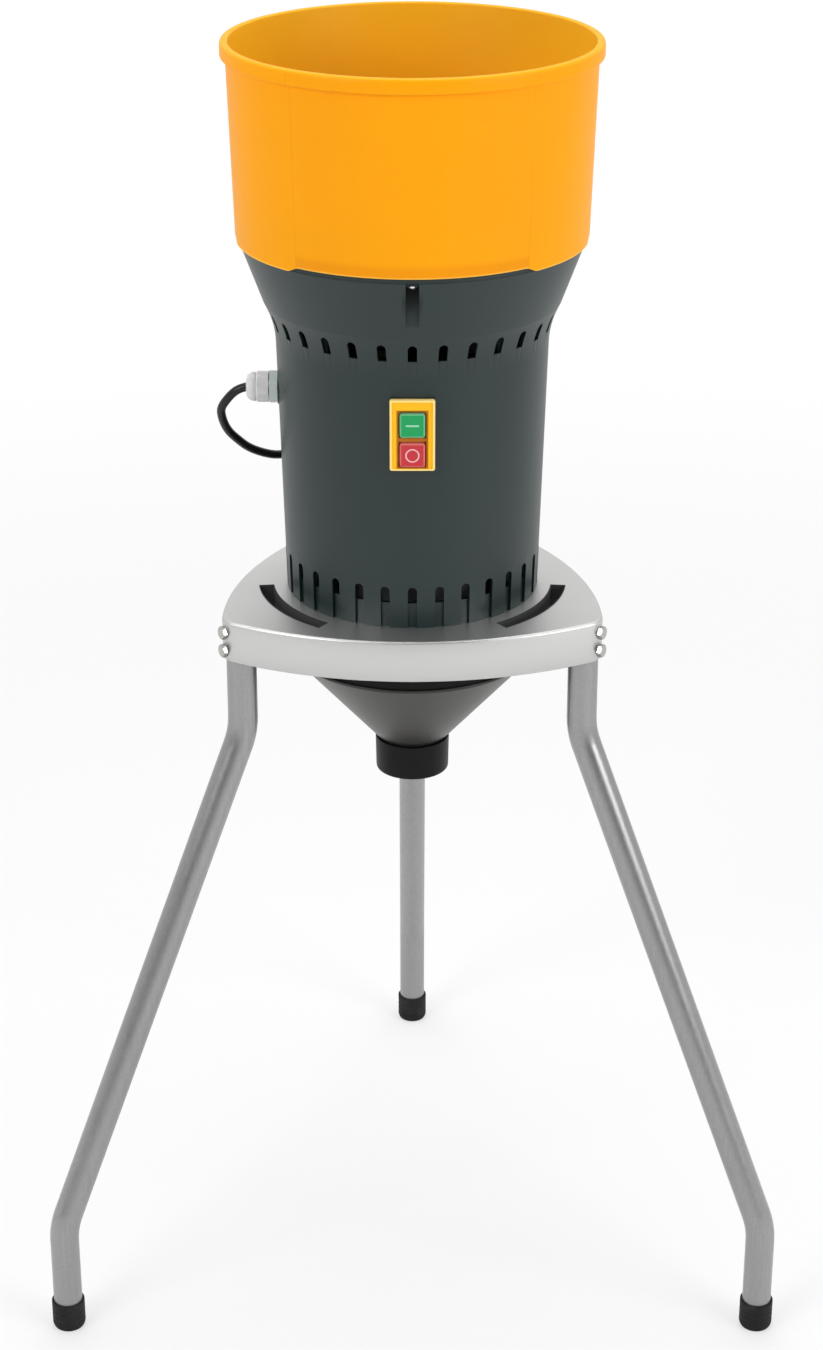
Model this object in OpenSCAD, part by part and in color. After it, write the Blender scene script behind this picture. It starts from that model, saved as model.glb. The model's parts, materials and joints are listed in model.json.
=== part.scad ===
// Electric grain mill on a tripod stand, in millimetres, +Z up.
// The floor is z = 0. The mill's own axis stands a little in front of the origin, so that the
// origin is under the middle of the three feet. Angles count from +X; the switch faces -Y.

/* [Stand] */
// Height of the stand plate's top face above the floor
stand_h = 641; // [600:1:700]
// Distance between the centres of the plate's three corner curves
plate_side = 277.7; // [272:0.1:300]
// Radius of the plate's corner curves
corner_r = 18.3; // [17.8:0.1:22]
// Thickness of the plate's sheet
plate_t = 2; // [1.5:0.1:3]
// Height of the plate's folded skirt, over all
skirt_h = 35; // [32:1:45]
// Outer diameter of the leg tube
leg_d = 25; // [22:0.5:27]
// Wall of the leg tube
leg_wall = 1.5; // [1:0.1:2.5]
// Distance from the mill's axis to the middle of each foot
foot_spread = 351; // [300:1:400]
// Length of the leg's straight top, from the plate to its upper bend
leg_top_l = 103; // [90:1:130]
// Height of the leg's lower bend above the floor
ankle_h = 103; // [80:1:140]
// Radius of the leg's bends, at the middle of the tube
bend_r = 65; // [50:1:90]
// Height of a foot cap
cap_h = 27; // [20:1:36]
// Wall of a foot cap around the tube
cap_wall = 1.9; // [1.2:0.1:3]
// Thickness of a foot cap's sole
cap_sole = 4; // [3:0.5:8]
// Bevel around the sole
cap_bevel = 3.5; // [1:0.5:4]
// Diameter of the bolts that hold the legs
leg_bolt_d = 6; // [5:0.5:6]
// Distance between the two bolts of a leg
leg_bolt_gap = 16; // [14:0.5:17]
// Distance from the plate's top face to the upper bolt
leg_bolt_drop = 11; // [9:0.5:13]
// Width of the plate's hand slots
hand_slot_w = 13; // [10:0.5:15]
// Gap between the housing's foot and a hand slot
hand_slot_gap = 11.5; // [8:0.5:13]
// Angle that each hand slot spans
hand_slot_angle = 48; // [36:1:56]

/* [Housing] */
// Height of the motor housing, from the plate to the hopper's seat
housing_h = 300; // [297:1:330]
// Diameter of the housing's foot
housing_foot_d = 212; // [210:0.5:214]
// Draft of the housing's lower wall, in degrees
housing_draft = 1.6; // [1.2:0.1:2]
// Wall of the housing
housing_wall = 3; // [2.4:0.1:3.6]
// Height of the lower wall, where the flare starts
flare_start_h = 214; // [210:1:216]
// Height of the flare
flare_h = 32; // [26:1:36]
// How far the flare opens the wall
flare_out = 8; // [6:0.5:10]
// How far the soft step above the flare stands out
flare_step = 2; // [1:0.5:3]
// Diameter of the housing's top edge
housing_top_d = 281; // [280:0.5:282]
// Height of the collar that centres the hopper
spigot_h = 14; // [10:1:16]
// Number of upper vents
upper_vents = 30; // [21:3:33]
// Width of an upper vent
upper_vent_w = 7.3; // [5:0.1:8]
// Height of an upper vent
upper_vent_h = 14.5; // [9:0.5:16]
// Height of the upper vents' sill above the plate
upper_vent_sill = 229.5; // [226:0.5:230]
// Number of lower vents
lower_vents = 30; // [24:3:36]
// Width of a lower vent
lower_vent_w = 7.5; // [5:0.1:8]
// Height of a lower vent
lower_vent_h = 36; // [28:1:44]
// Height of the closed band inside the lower vents
band_h = 21; // [14:1:24]
// Width of the channel to each hopper screw
channel_w = 10.5; // [9.5:0.5:14]

/* [Hopper] */
// Height of the hopper above the housing
hopper_h = 159; // [140:1:200]
// Outer diameter of the hopper's wall under the lip
hopper_mouth_d = 295; // [290:1:310]
// How far the hopper's lower edge stands out over the housing
hopper_over = 2.5; // [1.5:0.1:3]
// Wall of the hopper
hopper_wall = 2.6; // [2.2:0.1:3.2]
// How far the lip stands out from the wall
lip_out = 4.3; // [2:0.1:7]
// Height of the lip
lip_h = 12; // [8:1:18]
// Height of the hopper's floor above its seat
floor_h = 14; // [14:0.5:18]
// Rise of the sloped floor, up to the wall
floor_rise = 28; // [24:1:40]
// Height of the dome in the middle of the floor
dome_h = 57; // [40:1:75]
// Lift of the lower edge between the feed ducts
edge_lift = 4.2; // [1:0.1:6]
// Angle of each lifted stretch of the lower edge
edge_lift_angle = 78; // [60:1:90]
// Distance from the axis to the screws that hold the hopper
hopper_screw_r = 131; // [130.5:0.1:131.5]
// Diameter of those screws
hopper_screw_d = 4; // [3:0.5:4.5]

/* [Feed ducts] */
// Distance from the axis to a duct's inner side
duct_r = 76; // [74:0.5:77]
// Depth of a duct, from inner to outer side
duct_depth = 17; // [14:0.5:17.5]
// Angle that a duct spans
duct_angle = 27; // [20:1:32]
// Wall of a duct
duct_wall = 1.5; // [1:0.1:2]

/* [Switch] */
// Width of the switch's frame
switch_w = 36; // [35:0.5:42]
// Height of the switch's frame
switch_h = 59; // [58:0.5:64]
// Thickness of the frame
switch_t = 4.5; // [4:0.1:6]
// Height of the frame's middle above the plate
switch_z = 169.4; // [150:0.1:174]
// Width of a button
button_w = 20.4; // [18:0.1:21.5]
// Height of a button
button_h = 20.2; // [18:0.1:21]
// Gap between the two buttons
button_gap = 4.6; // [3.6:0.1:6]
// Travel of a button
button_travel = 3; // [1:0.5:4]
// Depth of the switch's body behind the housing's face
switch_depth = 27; // [23:1:28]

/* [Cable gland] */
// Diameter of the gland's thread
gland_d = 20; // [18:0.5:21]
// Width across flats of the gland's body and locknut
gland_flats = 24; // [23.5:0.5:26]
// Height of the gland above the plate
gland_z = 172; // [165:1:176]

/* [Motor] */
// Diameter of the shaft
shaft_d = 17; // [15:0.5:18]
// Outer diameter of a bearing
bearing_d = 40; // [36:1:42]
// Height of a bearing
bearing_h = 12; // [10:1:13]
// Outer diameter of the stator
stator_d = 120; // [114:1:121]
// Height of the stator's stack
stator_h = 80; // [72:1:90]
// Diameter of the rotor's core
rotor_d = 67; // [60:1:70]
// Air gap between the rotor and the stator
air_gap = 0.5; // [0.3:0.1:1]
// Outer diameter of the end shields
shield_d = 142; // [140:0.5:144]
// Thickness of the end shields' plates
shield_t = 6; // [5:0.5:8]
// Height of the lower end shield below the stator
lower_shield_h = 45; // [42:1:50]
// Height of the upper end shield above the stator
upper_shield_h = 40; // [36:1:44]
// Distance from the axis to the motor's long bolts
motor_bolt_r = 64; // [63.7:0.1:64.5]
// Diameter of those bolts
motor_bolt_d = 5; // [4:0.5:5]
// Diameter of the cooling fan
fan_d = 120; // [100:1:126]
// Height of the cooling fan
fan_h = 26; // [22:1:32]
// Number of the fan's vanes
fan_vanes = 9; // [6:1:14]
// Diameter of the run capacitor
capacitor_d = 36; // [30:1:38]
// Length of the run capacitor
capacitor_l = 62; // [50:1:80]

/* [Milling chamber] */
// Outer diameter of the chamber ring
chamber_d = 207; // [205:0.5:209]
// Wall of the chamber ring
chamber_wall = 3; // [2.5:0.1:3.5]
// Height of the chamber ring below the plate
chamber_h = 55; // [52:1:60]
// Thickness of the sieve
sieve_t = 1.5; // [1:0.1:2.5]
// Diameter of the sieve's holes
sieve_hole_d = 6; // [3:0.5:8]
// Distance between the rings of holes in the sieve
sieve_pitch = 15; // [14:0.5:18]
// Length of the blade from tip to tip
blade_l = 180; // [160:1:184]
// Width of the blade
blade_w = 28; // [24:1:34]
// Thickness of the blade
blade_t = 4; // [3:0.5:5]
// Distance from the plate's underside to the blade
blade_drop = 23; // [18:0.5:24]
// Distance from the axis to the bolts that hold the chamber and the housing
chamber_bolt_r = 93.5; // [93:0.1:94]
// Diameter of those bolts
chamber_bolt_d = 5; // [4:0.5:5]

/* [Funnel] */
// Diameter of the funnel's rim
funnel_d = 210; // [208:0.5:216]
// Height of the funnel's cone
funnel_h = 87; // [75:1:100]
// Wall of the funnel
funnel_wall = 2.5; // [2:0.1:2.8]
// Outer diameter of the outlet collar
outlet_d = 64; // [60:0.5:70]
// Wall of the outlet collar
outlet_wall = 3; // [2.5:0.1:4]
// Height of the outlet collar
outlet_h = 34; // [25:1:45]

/* [Power cord] */
// Diameter of the power cord
cord_d = 7.3; // [6.8:0.1:7.4]
// Largest diameter of the plug
plug_d = 35; // [33:0.5:36]
// Length of the plug without its pins
plug_l = 60; // [58:0.5:62]

/* [Fits] */
// Radial clearance of a shaft that runs in its bore
run_clear = 0.03; // [0.02:0.01:0.06]
// Radial clearance of a bolt or screw in its nut or boss
thread_clear = 0.05; // [0.02:0.01:0.1]
// Radial clearance of a bolt in a plain hole
hole_clear = 0.3; // [0.2:0.05:0.5]
// Clearance between pieces that stand next to each other
side_clear = 0.3; // [0.2:0.05:0.4]
// Clearance around a button in its guide
button_clear = 0.4; // [0.3:0.05:0.5]

/* [Hidden] */
$fn = 96;

// Colours
body_colour = [0.22, 0.25, 0.25];
hopper_colour = [1.0, 0.65, 0.11];
steel_colour = [0.76, 0.76, 0.76];
leg_colour = [0.58, 0.58, 0.58];
zinc_colour = [0.86, 0.86, 0.84];
alloy_colour = [0.66, 0.67, 0.69];
iron_colour = [0.38, 0.38, 0.40];
copper_colour = [0.72, 0.42, 0.22];
black_colour = [0.07, 0.07, 0.08];
gland_colour = [0.75, 0.78, 0.77];
funnel_colour = [0.33, 0.33, 0.33];
switch_colour = [1.0, 0.78, 0.15];

// Directions of the legs and feed ducts, and of the screws between them
back_angle = 90;
left_angle = 210;
right_angle = 330;
leg_angles = [back_angle, left_angle, right_angle];
screw_angles = [30, 150, 270];
// Overshoot of a cut past the face that it opens
cut = 1;
// Depth that two joined shapes share
bite = 0.5;
// How far a bolt's thread stands out of its nut
thread_end = 2;
// The four angles of the motor's bolts
motor_bolt_angles = [45, 135, 225, 315];

// Stand
mill_y = -foot_spread / 4;
corner_at = plate_side / sqrt(3);
leg_r = corner_at + corner_r - plate_t - leg_d / 2 - side_clear;
bend_z = stand_h - leg_top_l;
splay = atan((foot_spread - leg_r) / (bend_z - ankle_h));
bend_l = bend_r * tan(splay / 2);
// How much the tube's wall swells in its bends, on both faces
bend_swell = 0.05;
slant_l = (bend_z - ankle_h) / cos(splay) - 2 * bend_l;
foot_cap_d = leg_d + 2 * cap_wall;
leg_bolt_z = [for (i = [0, 1]) stand_h - leg_bolt_drop - i * leg_bolt_gap];
leg_bolt_head_h = 4;
leg_bolt_flats = leg_bolt_d + 4;
leg_nut_h = 5;
leg_nut_r = leg_r - leg_d / 2;
skirt_face_r = corner_at + corner_r;
hand_slot_r = housing_foot_d / 2 + hand_slot_gap;
axle_hole_r = shaft_d / 2 + 9.5;

// Housing outline, as heights above the plate
foot_r = housing_foot_d / 2;
function wall_r(h) = foot_r + h * tan(housing_draft);
flare_end_h = flare_start_h + flare_h;
flare_end_r = wall_r(flare_start_h) + flare_out;
cone_start_h = flare_end_h + 2 * flare_step;
top_r = housing_top_d / 2;
flare_curve = [for (i = [0 : 8]) let (t = i / 8, lean = tan(housing_draft) * flare_h)
    [wall_r(flare_start_h) + lean * t + (flare_out - lean) * t * t, flare_start_h + flare_h * t]];
outline = concat([[foot_r, 0]], flare_curve,
    [[flare_end_r + flare_step, cone_start_h], [top_r, housing_h]]);
shelf_t = 3;
base_r = top_r + hopper_over;
spigot_r = base_r - hopper_wall - side_clear - 0.1;
spigot_wall = 3;
screw_head_d = 8.6;
screw_head_h = 3.2;
channel_r = hopper_screw_r - screw_head_d / 2 - 0.5;
channel_wall = 2.5;
channel_rise = 0.6;
screw_seat_r = hopper_screw_r + screw_head_d / 2 + 0.8;
band_wall = 3;
band_bite = 0.8;
lug_w = 16;
lug_h = 8;
lug_reach = 8;
pad_y = wall_r(switch_z + switch_h / 2) + 0.3;
gland_x = wall_r(gland_z) + 0.3;
gland_hole_r = gland_d / 2 + hole_clear;

// Hopper outline, as heights above the housing's top
lip_z = hopper_h - lip_h;
function hopper_r(h) = base_r + (hopper_mouth_d / 2 - base_r) * h / lip_z;
duct_out_r = duct_r + duct_depth;
floor_r = duct_out_r + 1;
dome_r = duct_r - 1;
slope_h = floor_h + floor_rise;
slope_run = hopper_r(slope_h) - hopper_wall - floor_r;
function floor_at(r) = floor_h + floor_rise * (r - floor_r) / slope_run;
boss_r = 4.5;
boss_h = floor_at(hopper_screw_r - boss_r) - 0.5;

// Switch, measured from the frame's middle
rim_w = 2.2;
rim_h = 0.9;
well_margin = 2;
well_rise = 2.5;
bar_sink = 2.2;
buttons_low = -switch_h / 2 + rim_w + button_clear;
buttons_high = buttons_low + 2 * button_h + button_gap;
stop_z = switch_z + buttons_low + button_h / 2;
start_z = stop_z + button_h + button_gap;
well_h = buttons_high - buttons_low + button_clear + well_rise;
body_low = buttons_low - button_clear - 1.2;
body_high = buttons_high + button_clear + well_rise;
switch_body_w = button_w + 2 * well_margin + 1;
button_sink = 0.6;
button_l = 10;
spring_l = button_travel + 6;
pocket_l = button_l + button_sink - switch_t + spring_l;
button_face_y = -(pad_y + switch_t - button_sink);
button_back_y = button_face_y + button_l;
pocket_y = -pad_y + pocket_l;
spring_r = 5;
spring_wall = 1;

// Gland, measured from its seat on the housing
gland_body_l = 7;
gland_nut_l = 19;
gland_stub_l = 14;
gland_thread_l = 12;
gland_l = gland_stub_l + gland_body_l + gland_thread_l;
gland_bore_r = gland_d / 2 - 4;
gland_seal_l = 14;
locknut_t = 5;
locknut_x = sqrt(pow(wall_r(gland_z) - housing_wall, 2) - pow(gland_flats / sqrt(3), 2)) - 0.1;

// Motor, as heights above the plate
shaft_r = shaft_d / 2;
bearing_r = bearing_d / 2;
stator_r = stator_d / 2;
shield_r = shield_d / 2;
stator_z = lower_shield_h;
stator_top = stator_z + stator_h;
shield_top = stator_top + upper_shield_h;
shield_lip = 4;
shield_bore_r = stator_r + side_clear;
seat_wall = 6;
winding_h = 24;
winding_r = stator_r - 5;
lower_bearing_z = shield_t;
upper_bearing_z = shield_top - shield_t - bearing_h;
fan_z = shield_top + 6;
fan_disc_t = 3;
vane_t = 2;
hub_wall = 7.5;
clip_t = 1.5;
clip_z = fan_z + fan_h + 0.3;
shaft_top = clip_z + clip_t + 4;
cowl_r = shield_r - 0.5;
cowl_wall = 1.5;
cowl_room = 26;
cowl_h = fan_h + cowl_room;
cowl_top = shield_top + cowl_h;
capacitor_x = 34;
clip_wall = 1.6;
clip_h = 20;
inlet_r = cowl_r / 12;
inlet_rows = [0.42 * cowl_r, 0.68 * cowl_r];
inlet_angles = [60, 90, 120, 240, 270, 300];
terminal_size = [22, 44, 14];
terminal_x = -42;
terminal_face = terminal_x - terminal_size[0] / 2;
terminal_hole_r = 2.6;

// Milling chamber and funnel, as heights above the plate (below it when negative)
chamber_r = chamber_d / 2;
plate_low = -plate_t;
blade_z = plate_low - blade_drop;
hub_r = shaft_r + 3;
nut_flats = 27;
nut_h = 9;
chamber_low = plate_low - chamber_h;
sieve_ledge = 2;
sieve_r = chamber_r - chamber_wall - side_clear;
spigot_rise = 13;
sieve_z = chamber_low + spigot_rise;
ledge_z = sieve_z + sieve_t + side_clear;
bolt_head_h = 3.5;
m5_flats = 8;
m5_nut_h = 4;
shaft_low = blade_z - nut_h - 1.5;
funnel_r = funnel_d / 2;
funnel_spigot_r = chamber_r - chamber_wall - side_clear;
outlet_r = outlet_d / 2;
neck_r = outlet_r - outlet_wall;
funnel_low = chamber_low - funnel_h;
outlet_top = funnel_low + 3;
funnel_screw_z = chamber_low + 6;
funnel_screw_r = 2;

// Power cord. It leaves the gland, hangs in a loop and lies in a coil behind the housing
cord_r = cord_d / 2;
coil_r = 36.5;
coil_rows = 3;
tie_t = 0.8;
tie_w = 6;
tie_angle = 35;
coil_at = [0, foot_r + 1.7 + coil_r + cord_d, tie_t];
coil_top = tie_t + coil_rows * cord_d;
on_coil = coil_top + cord_r - 0.3;
relief_l = 26;
plug_head_l = 10;
pin_d = 4.8;
pin_l = 19;
pin_gap = 19;
// The plug lies on the coil: its tilt lets the rim of its head touch the coil's top
plug_lift = cord_r + 0.8;
plug_at = [-30, coil_at[1] - 20, coil_top + plug_lift];
plug_waist_l = plug_l - plug_head_l;
plug_tilt = atan(plug_d / 2 / plug_waist_l) - asin(plug_lift / norm([plug_waist_l, plug_d / 2]));
// Points of the loop from the gland's seat, chosen by hand
loop_route = [for (p = [
    [-10, 0, 0], [-18, 0, 0], [-26, 0, -0.3], [-35, 1, -4.2], [-43, 4, -13], [-48, 9, -23],
    [-47, 15, -35], [-43, 21, -46], [-36, 28, -56], [-28, 35, -65], [-18, 42, -72], [-7, 49, -77],
]) [-gland_x, 0, gland_z] + p];
// Points that go round the housing to the front of the coil, from the coil's middle and top
round_route = [for (p = [
    [-108, -92, 69], [-96, -79, 65], [-82, -66, 57], [-65, -53, 46], [-46, -44, 32], [-27, -40, 17],
]) [0, coil_at[1], coil_top] + p];
cord_route = concat(loop_route, round_route, [
    [-10, coil_at[1] - coil_r - cord_r, on_coil + 2.6], [0, coil_at[1] - coil_r - cord_r, on_coil],
]);
end_route = concat([[0, coil_at[1] + coil_r - cord_r, on_coil]], [for (p = [
    [-9.5, 34.5, 0.5], [-20, 37.5, 0.5], [-32, 39.5, 0.5], [-45, 35.5, 0.5], [-54.5, 26.5, 0.5],
    [-58.5, 15, 0.5], [-57.5, 3, 0.3], [-50.5, -9.5, -0.6], [-39, -17.5, -1.4],
]) [0, coil_at[1], plug_at[2]] + p], [plug_at]);
// Points inside the housing, from the gland up to the terminal block
rise_r = shield_r + cord_r + 2.3;
tail_route = [
    [-gland_x - 10, 0, gland_z], [-gland_x + gland_stub_l - 4, 0, gland_z],
    [-gland_x + gland_stub_l + 4, 0, gland_z], [-rise_r - 10, 0, gland_z + 3],
    [-rise_r - 3, 0, gland_z + 11], [-rise_r, 0, gland_z + 21], [-rise_r, 0, cowl_top - 8],
    [-rise_r + 4, 0, cowl_top + 4.2], [terminal_face - 12, 0, cowl_top + 8],
    [terminal_face - 7, 0, cowl_top + 8], [terminal_face, 0, cowl_top + 8],
];

// ---- placing and repeating ----
module on_floor() { translate([0, mill_y, 0]) children(); }
module on_plate() { translate([0, mill_y, stand_h]) children(); }
module on_housing() { translate([0, mill_y, stand_h + housing_h]) children(); }
module at_angles(angles) { for (a = angles) rotate(a) children(); }

// Flat ring
module ring(r_out, r_in) { difference() { circle(r_out); circle(r_in); } }

// Tube standing on the plane
module tube(r_out, r_in, h) { linear_extrude(h) ring(r_out, r_in); }

// Sector of a flat ring, centred on +X
module ring_sector(r_out, r_in, angle) {
    reach = 1.5 * r_out;
    intersection() {
        ring(r_out, r_in);
        polygon([[0, 0], [reach * cos(angle / 2), -reach * sin(angle / 2)],
                 [reach, 0], [reach * cos(angle / 2), reach * sin(angle / 2)]]);
    }
}

// Hexagon by its width across flats, with flats facing +Y and -Y
module hexagon(flats) { circle(flats / sqrt(3), $fn = 6); }

// Radial piece: its profile stands upright and faces outwards from the axis, between two radii
module outwards(r_in, r_out) {
    translate([r_in, 0, 0]) rotate([90, 0, 90]) linear_extrude(r_out - r_in) children();
}

// ---- stand ----
// Outline of the plate: arcs around the far corners, and a small arc at each corner
module plate_outline(inset) {
    small_r = corner_r - inset;
    difference() {
        intersection_for (a = leg_angles)
            translate(corner_at * [cos(a), sin(a)]) circle(plate_side + small_r, $fn = 180);
        at_angles(leg_angles) translate([corner_at, 0]) difference() {
            polygon([[0, 0], 3 * small_r * [cos(30), sin(30)], 3 * small_r * [cos(30), -sin(30)]]);
            circle(small_r);
        }
    }
}

module stand_plate() {
    color(steel_colour) on_plate() difference() {
        translate([0, 0, -skirt_h]) linear_extrude(skirt_h) plate_outline(0);
        translate([0, 0, -skirt_h - cut]) linear_extrude(skirt_h - plate_t + cut) plate_outline(plate_t);
        translate([0, 0, -plate_t - cut]) linear_extrude(plate_t + 2 * cut) {
            circle(axle_hole_r);
            at_angles(leg_angles) {
                ring_sector(hand_slot_r + hand_slot_w, hand_slot_r, hand_slot_angle);
                ring_sector(duct_out_r + side_clear, duct_r - side_clear,
                            duct_angle + 2 * asin(side_clear / duct_r));
            }
            at_angles(screw_angles) translate([chamber_bolt_r, 0]) circle(chamber_bolt_d / 2 + hole_clear);
            at_angles(motor_bolt_angles) translate([motor_bolt_r, 0]) circle(motor_bolt_d / 2 + hole_clear);
        }
        at_angles(leg_angles) for (z = leg_bolt_z) translate([corner_at, 0, z - stand_h])
            rotate([0, 90, 0]) cylinder(h = corner_r + cut, r = leg_bolt_d / 2 + hole_clear);
    }
}

// Straight stretch of the leg tube, with the children at its end. It reaches into the bends.
module straight(l, before = bite, after = bite) {
    translate([0, 0, -before]) tube(leg_d / 2, leg_d / 2 - leg_wall, before + l + after);
    translate([0, 0, l]) children();
}

// Bend of the leg tube from +Z towards +X, with the children at its end
module bend(angle) {
    translate([bend_r, 0, 0]) {
        rotate([90, 0, 180]) rotate_extrude(angle = angle) translate([bend_r, 0])
            ring(leg_d / 2 + bend_swell, leg_d / 2 - leg_wall - bend_swell);
        rotate([0, angle, 0]) translate([-bend_r, 0, 0]) children();
    }
}

module leg(direction) {
    top_l = leg_top_l - plate_t - bend_l;
    foot_l = ankle_h - cap_sole - bend_l;
    color(leg_colour) on_floor() rotate(direction) difference() {
        translate([leg_r, 0, stand_h - plate_t]) mirror([0, 0, 1])
            straight(top_l, before = 0) bend(splay) straight(slant_l)
                mirror([1, 0, 0]) bend(splay) straight(foot_l, after = 0);
        for (z = leg_bolt_z) translate([leg_r - leg_d, 0, z]) rotate([0, 90, 0])
            cylinder(h = 2 * leg_d, r = leg_bolt_d / 2 + hole_clear);
    }
}
module leg_left() { leg(left_angle); }
module leg_right() { leg(right_angle); }
module leg_back() { leg(back_angle); }

module foot_cap(direction) {
    color(black_colour) on_floor() rotate(direction) translate([foot_spread, 0, 0]) rotate_extrude()
        polygon([[0, 0], [foot_cap_d / 2 - cap_bevel / 2, 0], [foot_cap_d / 2, cap_bevel],
                 [foot_cap_d / 2, cap_h], [leg_d / 2 + thread_clear, cap_h],
                 [leg_d / 2 + thread_clear, cap_sole], [0, cap_sole]]);
}
module foot_cap_left() { foot_cap(left_angle); }
module foot_cap_right() { foot_cap(right_angle); }
module foot_cap_back() { foot_cap(back_angle); }

// Two bolts go through the skirt and the tube at each corner
module at_leg_bolts() {
    on_floor() at_angles(leg_angles) for (z = leg_bolt_z) translate([0, 0, z]) children();
}

module leg_bolts() {
    color(zinc_colour) at_leg_bolts() {
        outwards(skirt_face_r, skirt_face_r + leg_bolt_head_h) hexagon(leg_bolt_flats);
        outwards(leg_nut_r - leg_nut_h - thread_end, skirt_face_r + cut) circle(leg_bolt_d / 2);
    }
}

module leg_nuts() {
    color(zinc_colour) at_leg_bolts() outwards(leg_nut_r - leg_nut_h, leg_nut_r) difference() {
        hexagon(leg_bolt_flats);
        circle(leg_bolt_d / 2 + thread_clear);
    }
}

// ---- housing ----
// Filled shape of the housing, without its openings
module housing_envelope() { rotate_extrude() polygon(concat([[0, 0]], outline, [[0, housing_h]])); }

module housing_shell() {
    inside = [for (i = [len(outline) - 1 : -1 : 0]) [outline[i][0] - housing_wall, outline[i][1]]];
    rotate_extrude() polygon(concat(outline, inside));
    // Shelf that closes the top edge, and the collar that centres the hopper
    translate([0, 0, housing_h - shelf_t]) intersection() {
        tube(top_r, channel_r - channel_wall, shelf_t);
        translate([0, 0, shelf_t - housing_h]) housing_envelope();
    }
    translate([0, 0, housing_h - bite]) tube(spigot_r, spigot_r - spigot_wall, bite + spigot_h);
    // Walls around the channels to the hopper's screws
    intersection() {
        housing_envelope();
        at_angles(screw_angles)
            translate([channel_r - channel_wall, -channel_w / 2 - channel_wall, flare_start_h])
                cube([top_r, channel_w + 2 * channel_wall, housing_h - flare_start_h]);
    }
}

module vent(width, height) {
    union() {
        translate([-width / 2, 0]) square([width, height - width / 2]);
        translate([0, height - width / 2]) circle(width / 2, $fn = 32);
    }
}

module housing() {
    pad_in = foot_r - housing_wall + 4;
    color(body_colour) on_plate() difference() {
        union() {
            difference() {
                housing_shell();
                for (i = [0 : upper_vents - 1]) rotate(-90 + i * 360 / upper_vents)
                    translate([0, 0, upper_vent_sill]) outwards(foot_r - lug_w, top_r)
                        vent(upper_vent_w, upper_vent_h);
                for (i = [0 : lower_vents - 1]) rotate(-90 + i * 360 / lower_vents)
                    translate([0, 0, -cut]) outwards(foot_r - lug_w, foot_r + lug_w)
                        vent(lower_vent_w, lower_vent_h + cut);
            }
            // Closed band behind the lower vents
            tube(foot_r - housing_wall + band_bite, foot_r - housing_wall - band_wall, band_h);
            // Lugs on the band, which the chamber's bolts hold
            at_angles(screw_angles) difference() {
                translate([chamber_bolt_r - lug_reach, -lug_w / 2, 0])
                    cube([foot_r - housing_wall - chamber_bolt_r + lug_reach, lug_w, lug_h]);
                translate([chamber_bolt_r, 0, -cut])
                    cylinder(h = lug_h + 2 * cut, r = chamber_bolt_d / 2 + hole_clear);
            }
            // Flat seats of the switch and of the gland
            translate([-switch_w / 2, -pad_y, switch_z - switch_h / 2])
                cube([switch_w, pad_y - pad_in, switch_h]);
            translate([-gland_x, 0, gland_z]) rotate([0, 90, 0])
                cylinder(h = gland_x - pad_in, r = gland_flats / sqrt(3) + 0.5);
        }
        translate([-switch_body_w / 2 - side_clear, -pad_y - cut, switch_z + body_low - side_clear])
            cube([switch_body_w + 2 * side_clear, pad_y - foot_r + housing_wall * 2 + 2 * cut,
                  body_high - body_low + 2 * side_clear]);
        translate([-gland_x - cut, 0, gland_z]) rotate([0, 90, 0])
            cylinder(h = gland_x - foot_r + housing_wall * 2 + 2 * cut, r = gland_hole_r);
        // Channels and holes of the hopper's screws
        at_angles(screw_angles) {
            translate([channel_r, -channel_w / 2, flare_start_h])
                cube([top_r, channel_w, housing_h - flare_start_h - shelf_t]);
            // Outside the screw's seat the channel runs up to the hopper's edge
            translate([screw_seat_r, -channel_w / 2, housing_h - shelf_t - cut])
                cube([top_r, channel_w, shelf_t + cut + channel_rise]);
            translate([hopper_screw_r, 0, housing_h - shelf_t - cut])
                cylinder(h = shelf_t + 2 * cut, r = hopper_screw_d / 2 + hole_clear);
        }
    }
}

// ---- hopper ----
module hopper() {
    steps = 12;
    seam = 0.3;
    wall_top = hopper_r(hopper_h) - hopper_wall;
    dome = [for (i = [0 : steps]) let (a = 90 * i / steps) [dome_r * cos(a), floor_h + dome_h * sin(a)]];
    under = [for (i = [steps : -1 : 0]) let (a = 90 * i / steps)
        [(dome_r - hopper_wall) * cos(a), floor_h - hopper_wall + dome_h * sin(a)]];
    skirt_in = hopper_r(0) - hopper_wall;
    color(hopper_colour) on_housing() difference() {
        union() {
            rotate_extrude($fn = 144) polygon(concat(
                [[skirt_in, seam], [hopper_r(0), seam], [hopper_r(lip_z), lip_z],
                 [hopper_r(lip_z) + lip_out, lip_z], [hopper_r(lip_z) + lip_out, hopper_h - 2],
                 [hopper_r(lip_z) + lip_out - 1.5, hopper_h], [wall_top, hopper_h],
                 [hopper_r(slope_h) - hopper_wall, slope_h], [floor_r, floor_h]],
                dome, under,
                [[floor_r, floor_h - hopper_wall],
                 [hopper_r(slope_h) - hopper_wall, slope_h - hopper_wall - 0.5]]));
            at_angles(screw_angles) translate([hopper_screw_r, 0, 0]) cylinder(h = boss_h, r = boss_r);
        }
        at_angles(leg_angles) translate([0, 0, floor_h - hopper_wall - cut])
            linear_extrude(hopper_wall + floor_rise) duct_bore();
        at_angles(screw_angles) {
            translate([hopper_screw_r, 0, -cut])
                cylinder(h = boss_h - hopper_wall + cut, r = hopper_screw_d / 2 + thread_clear);
            // The lower edge is higher between the ducts
            translate([0, 0, -cut]) linear_extrude(cut + edge_lift)
                ring_sector(hopper_r(edge_lift) + cut, spigot_r + 0.1, edge_lift_angle);
        }
    }
}

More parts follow.
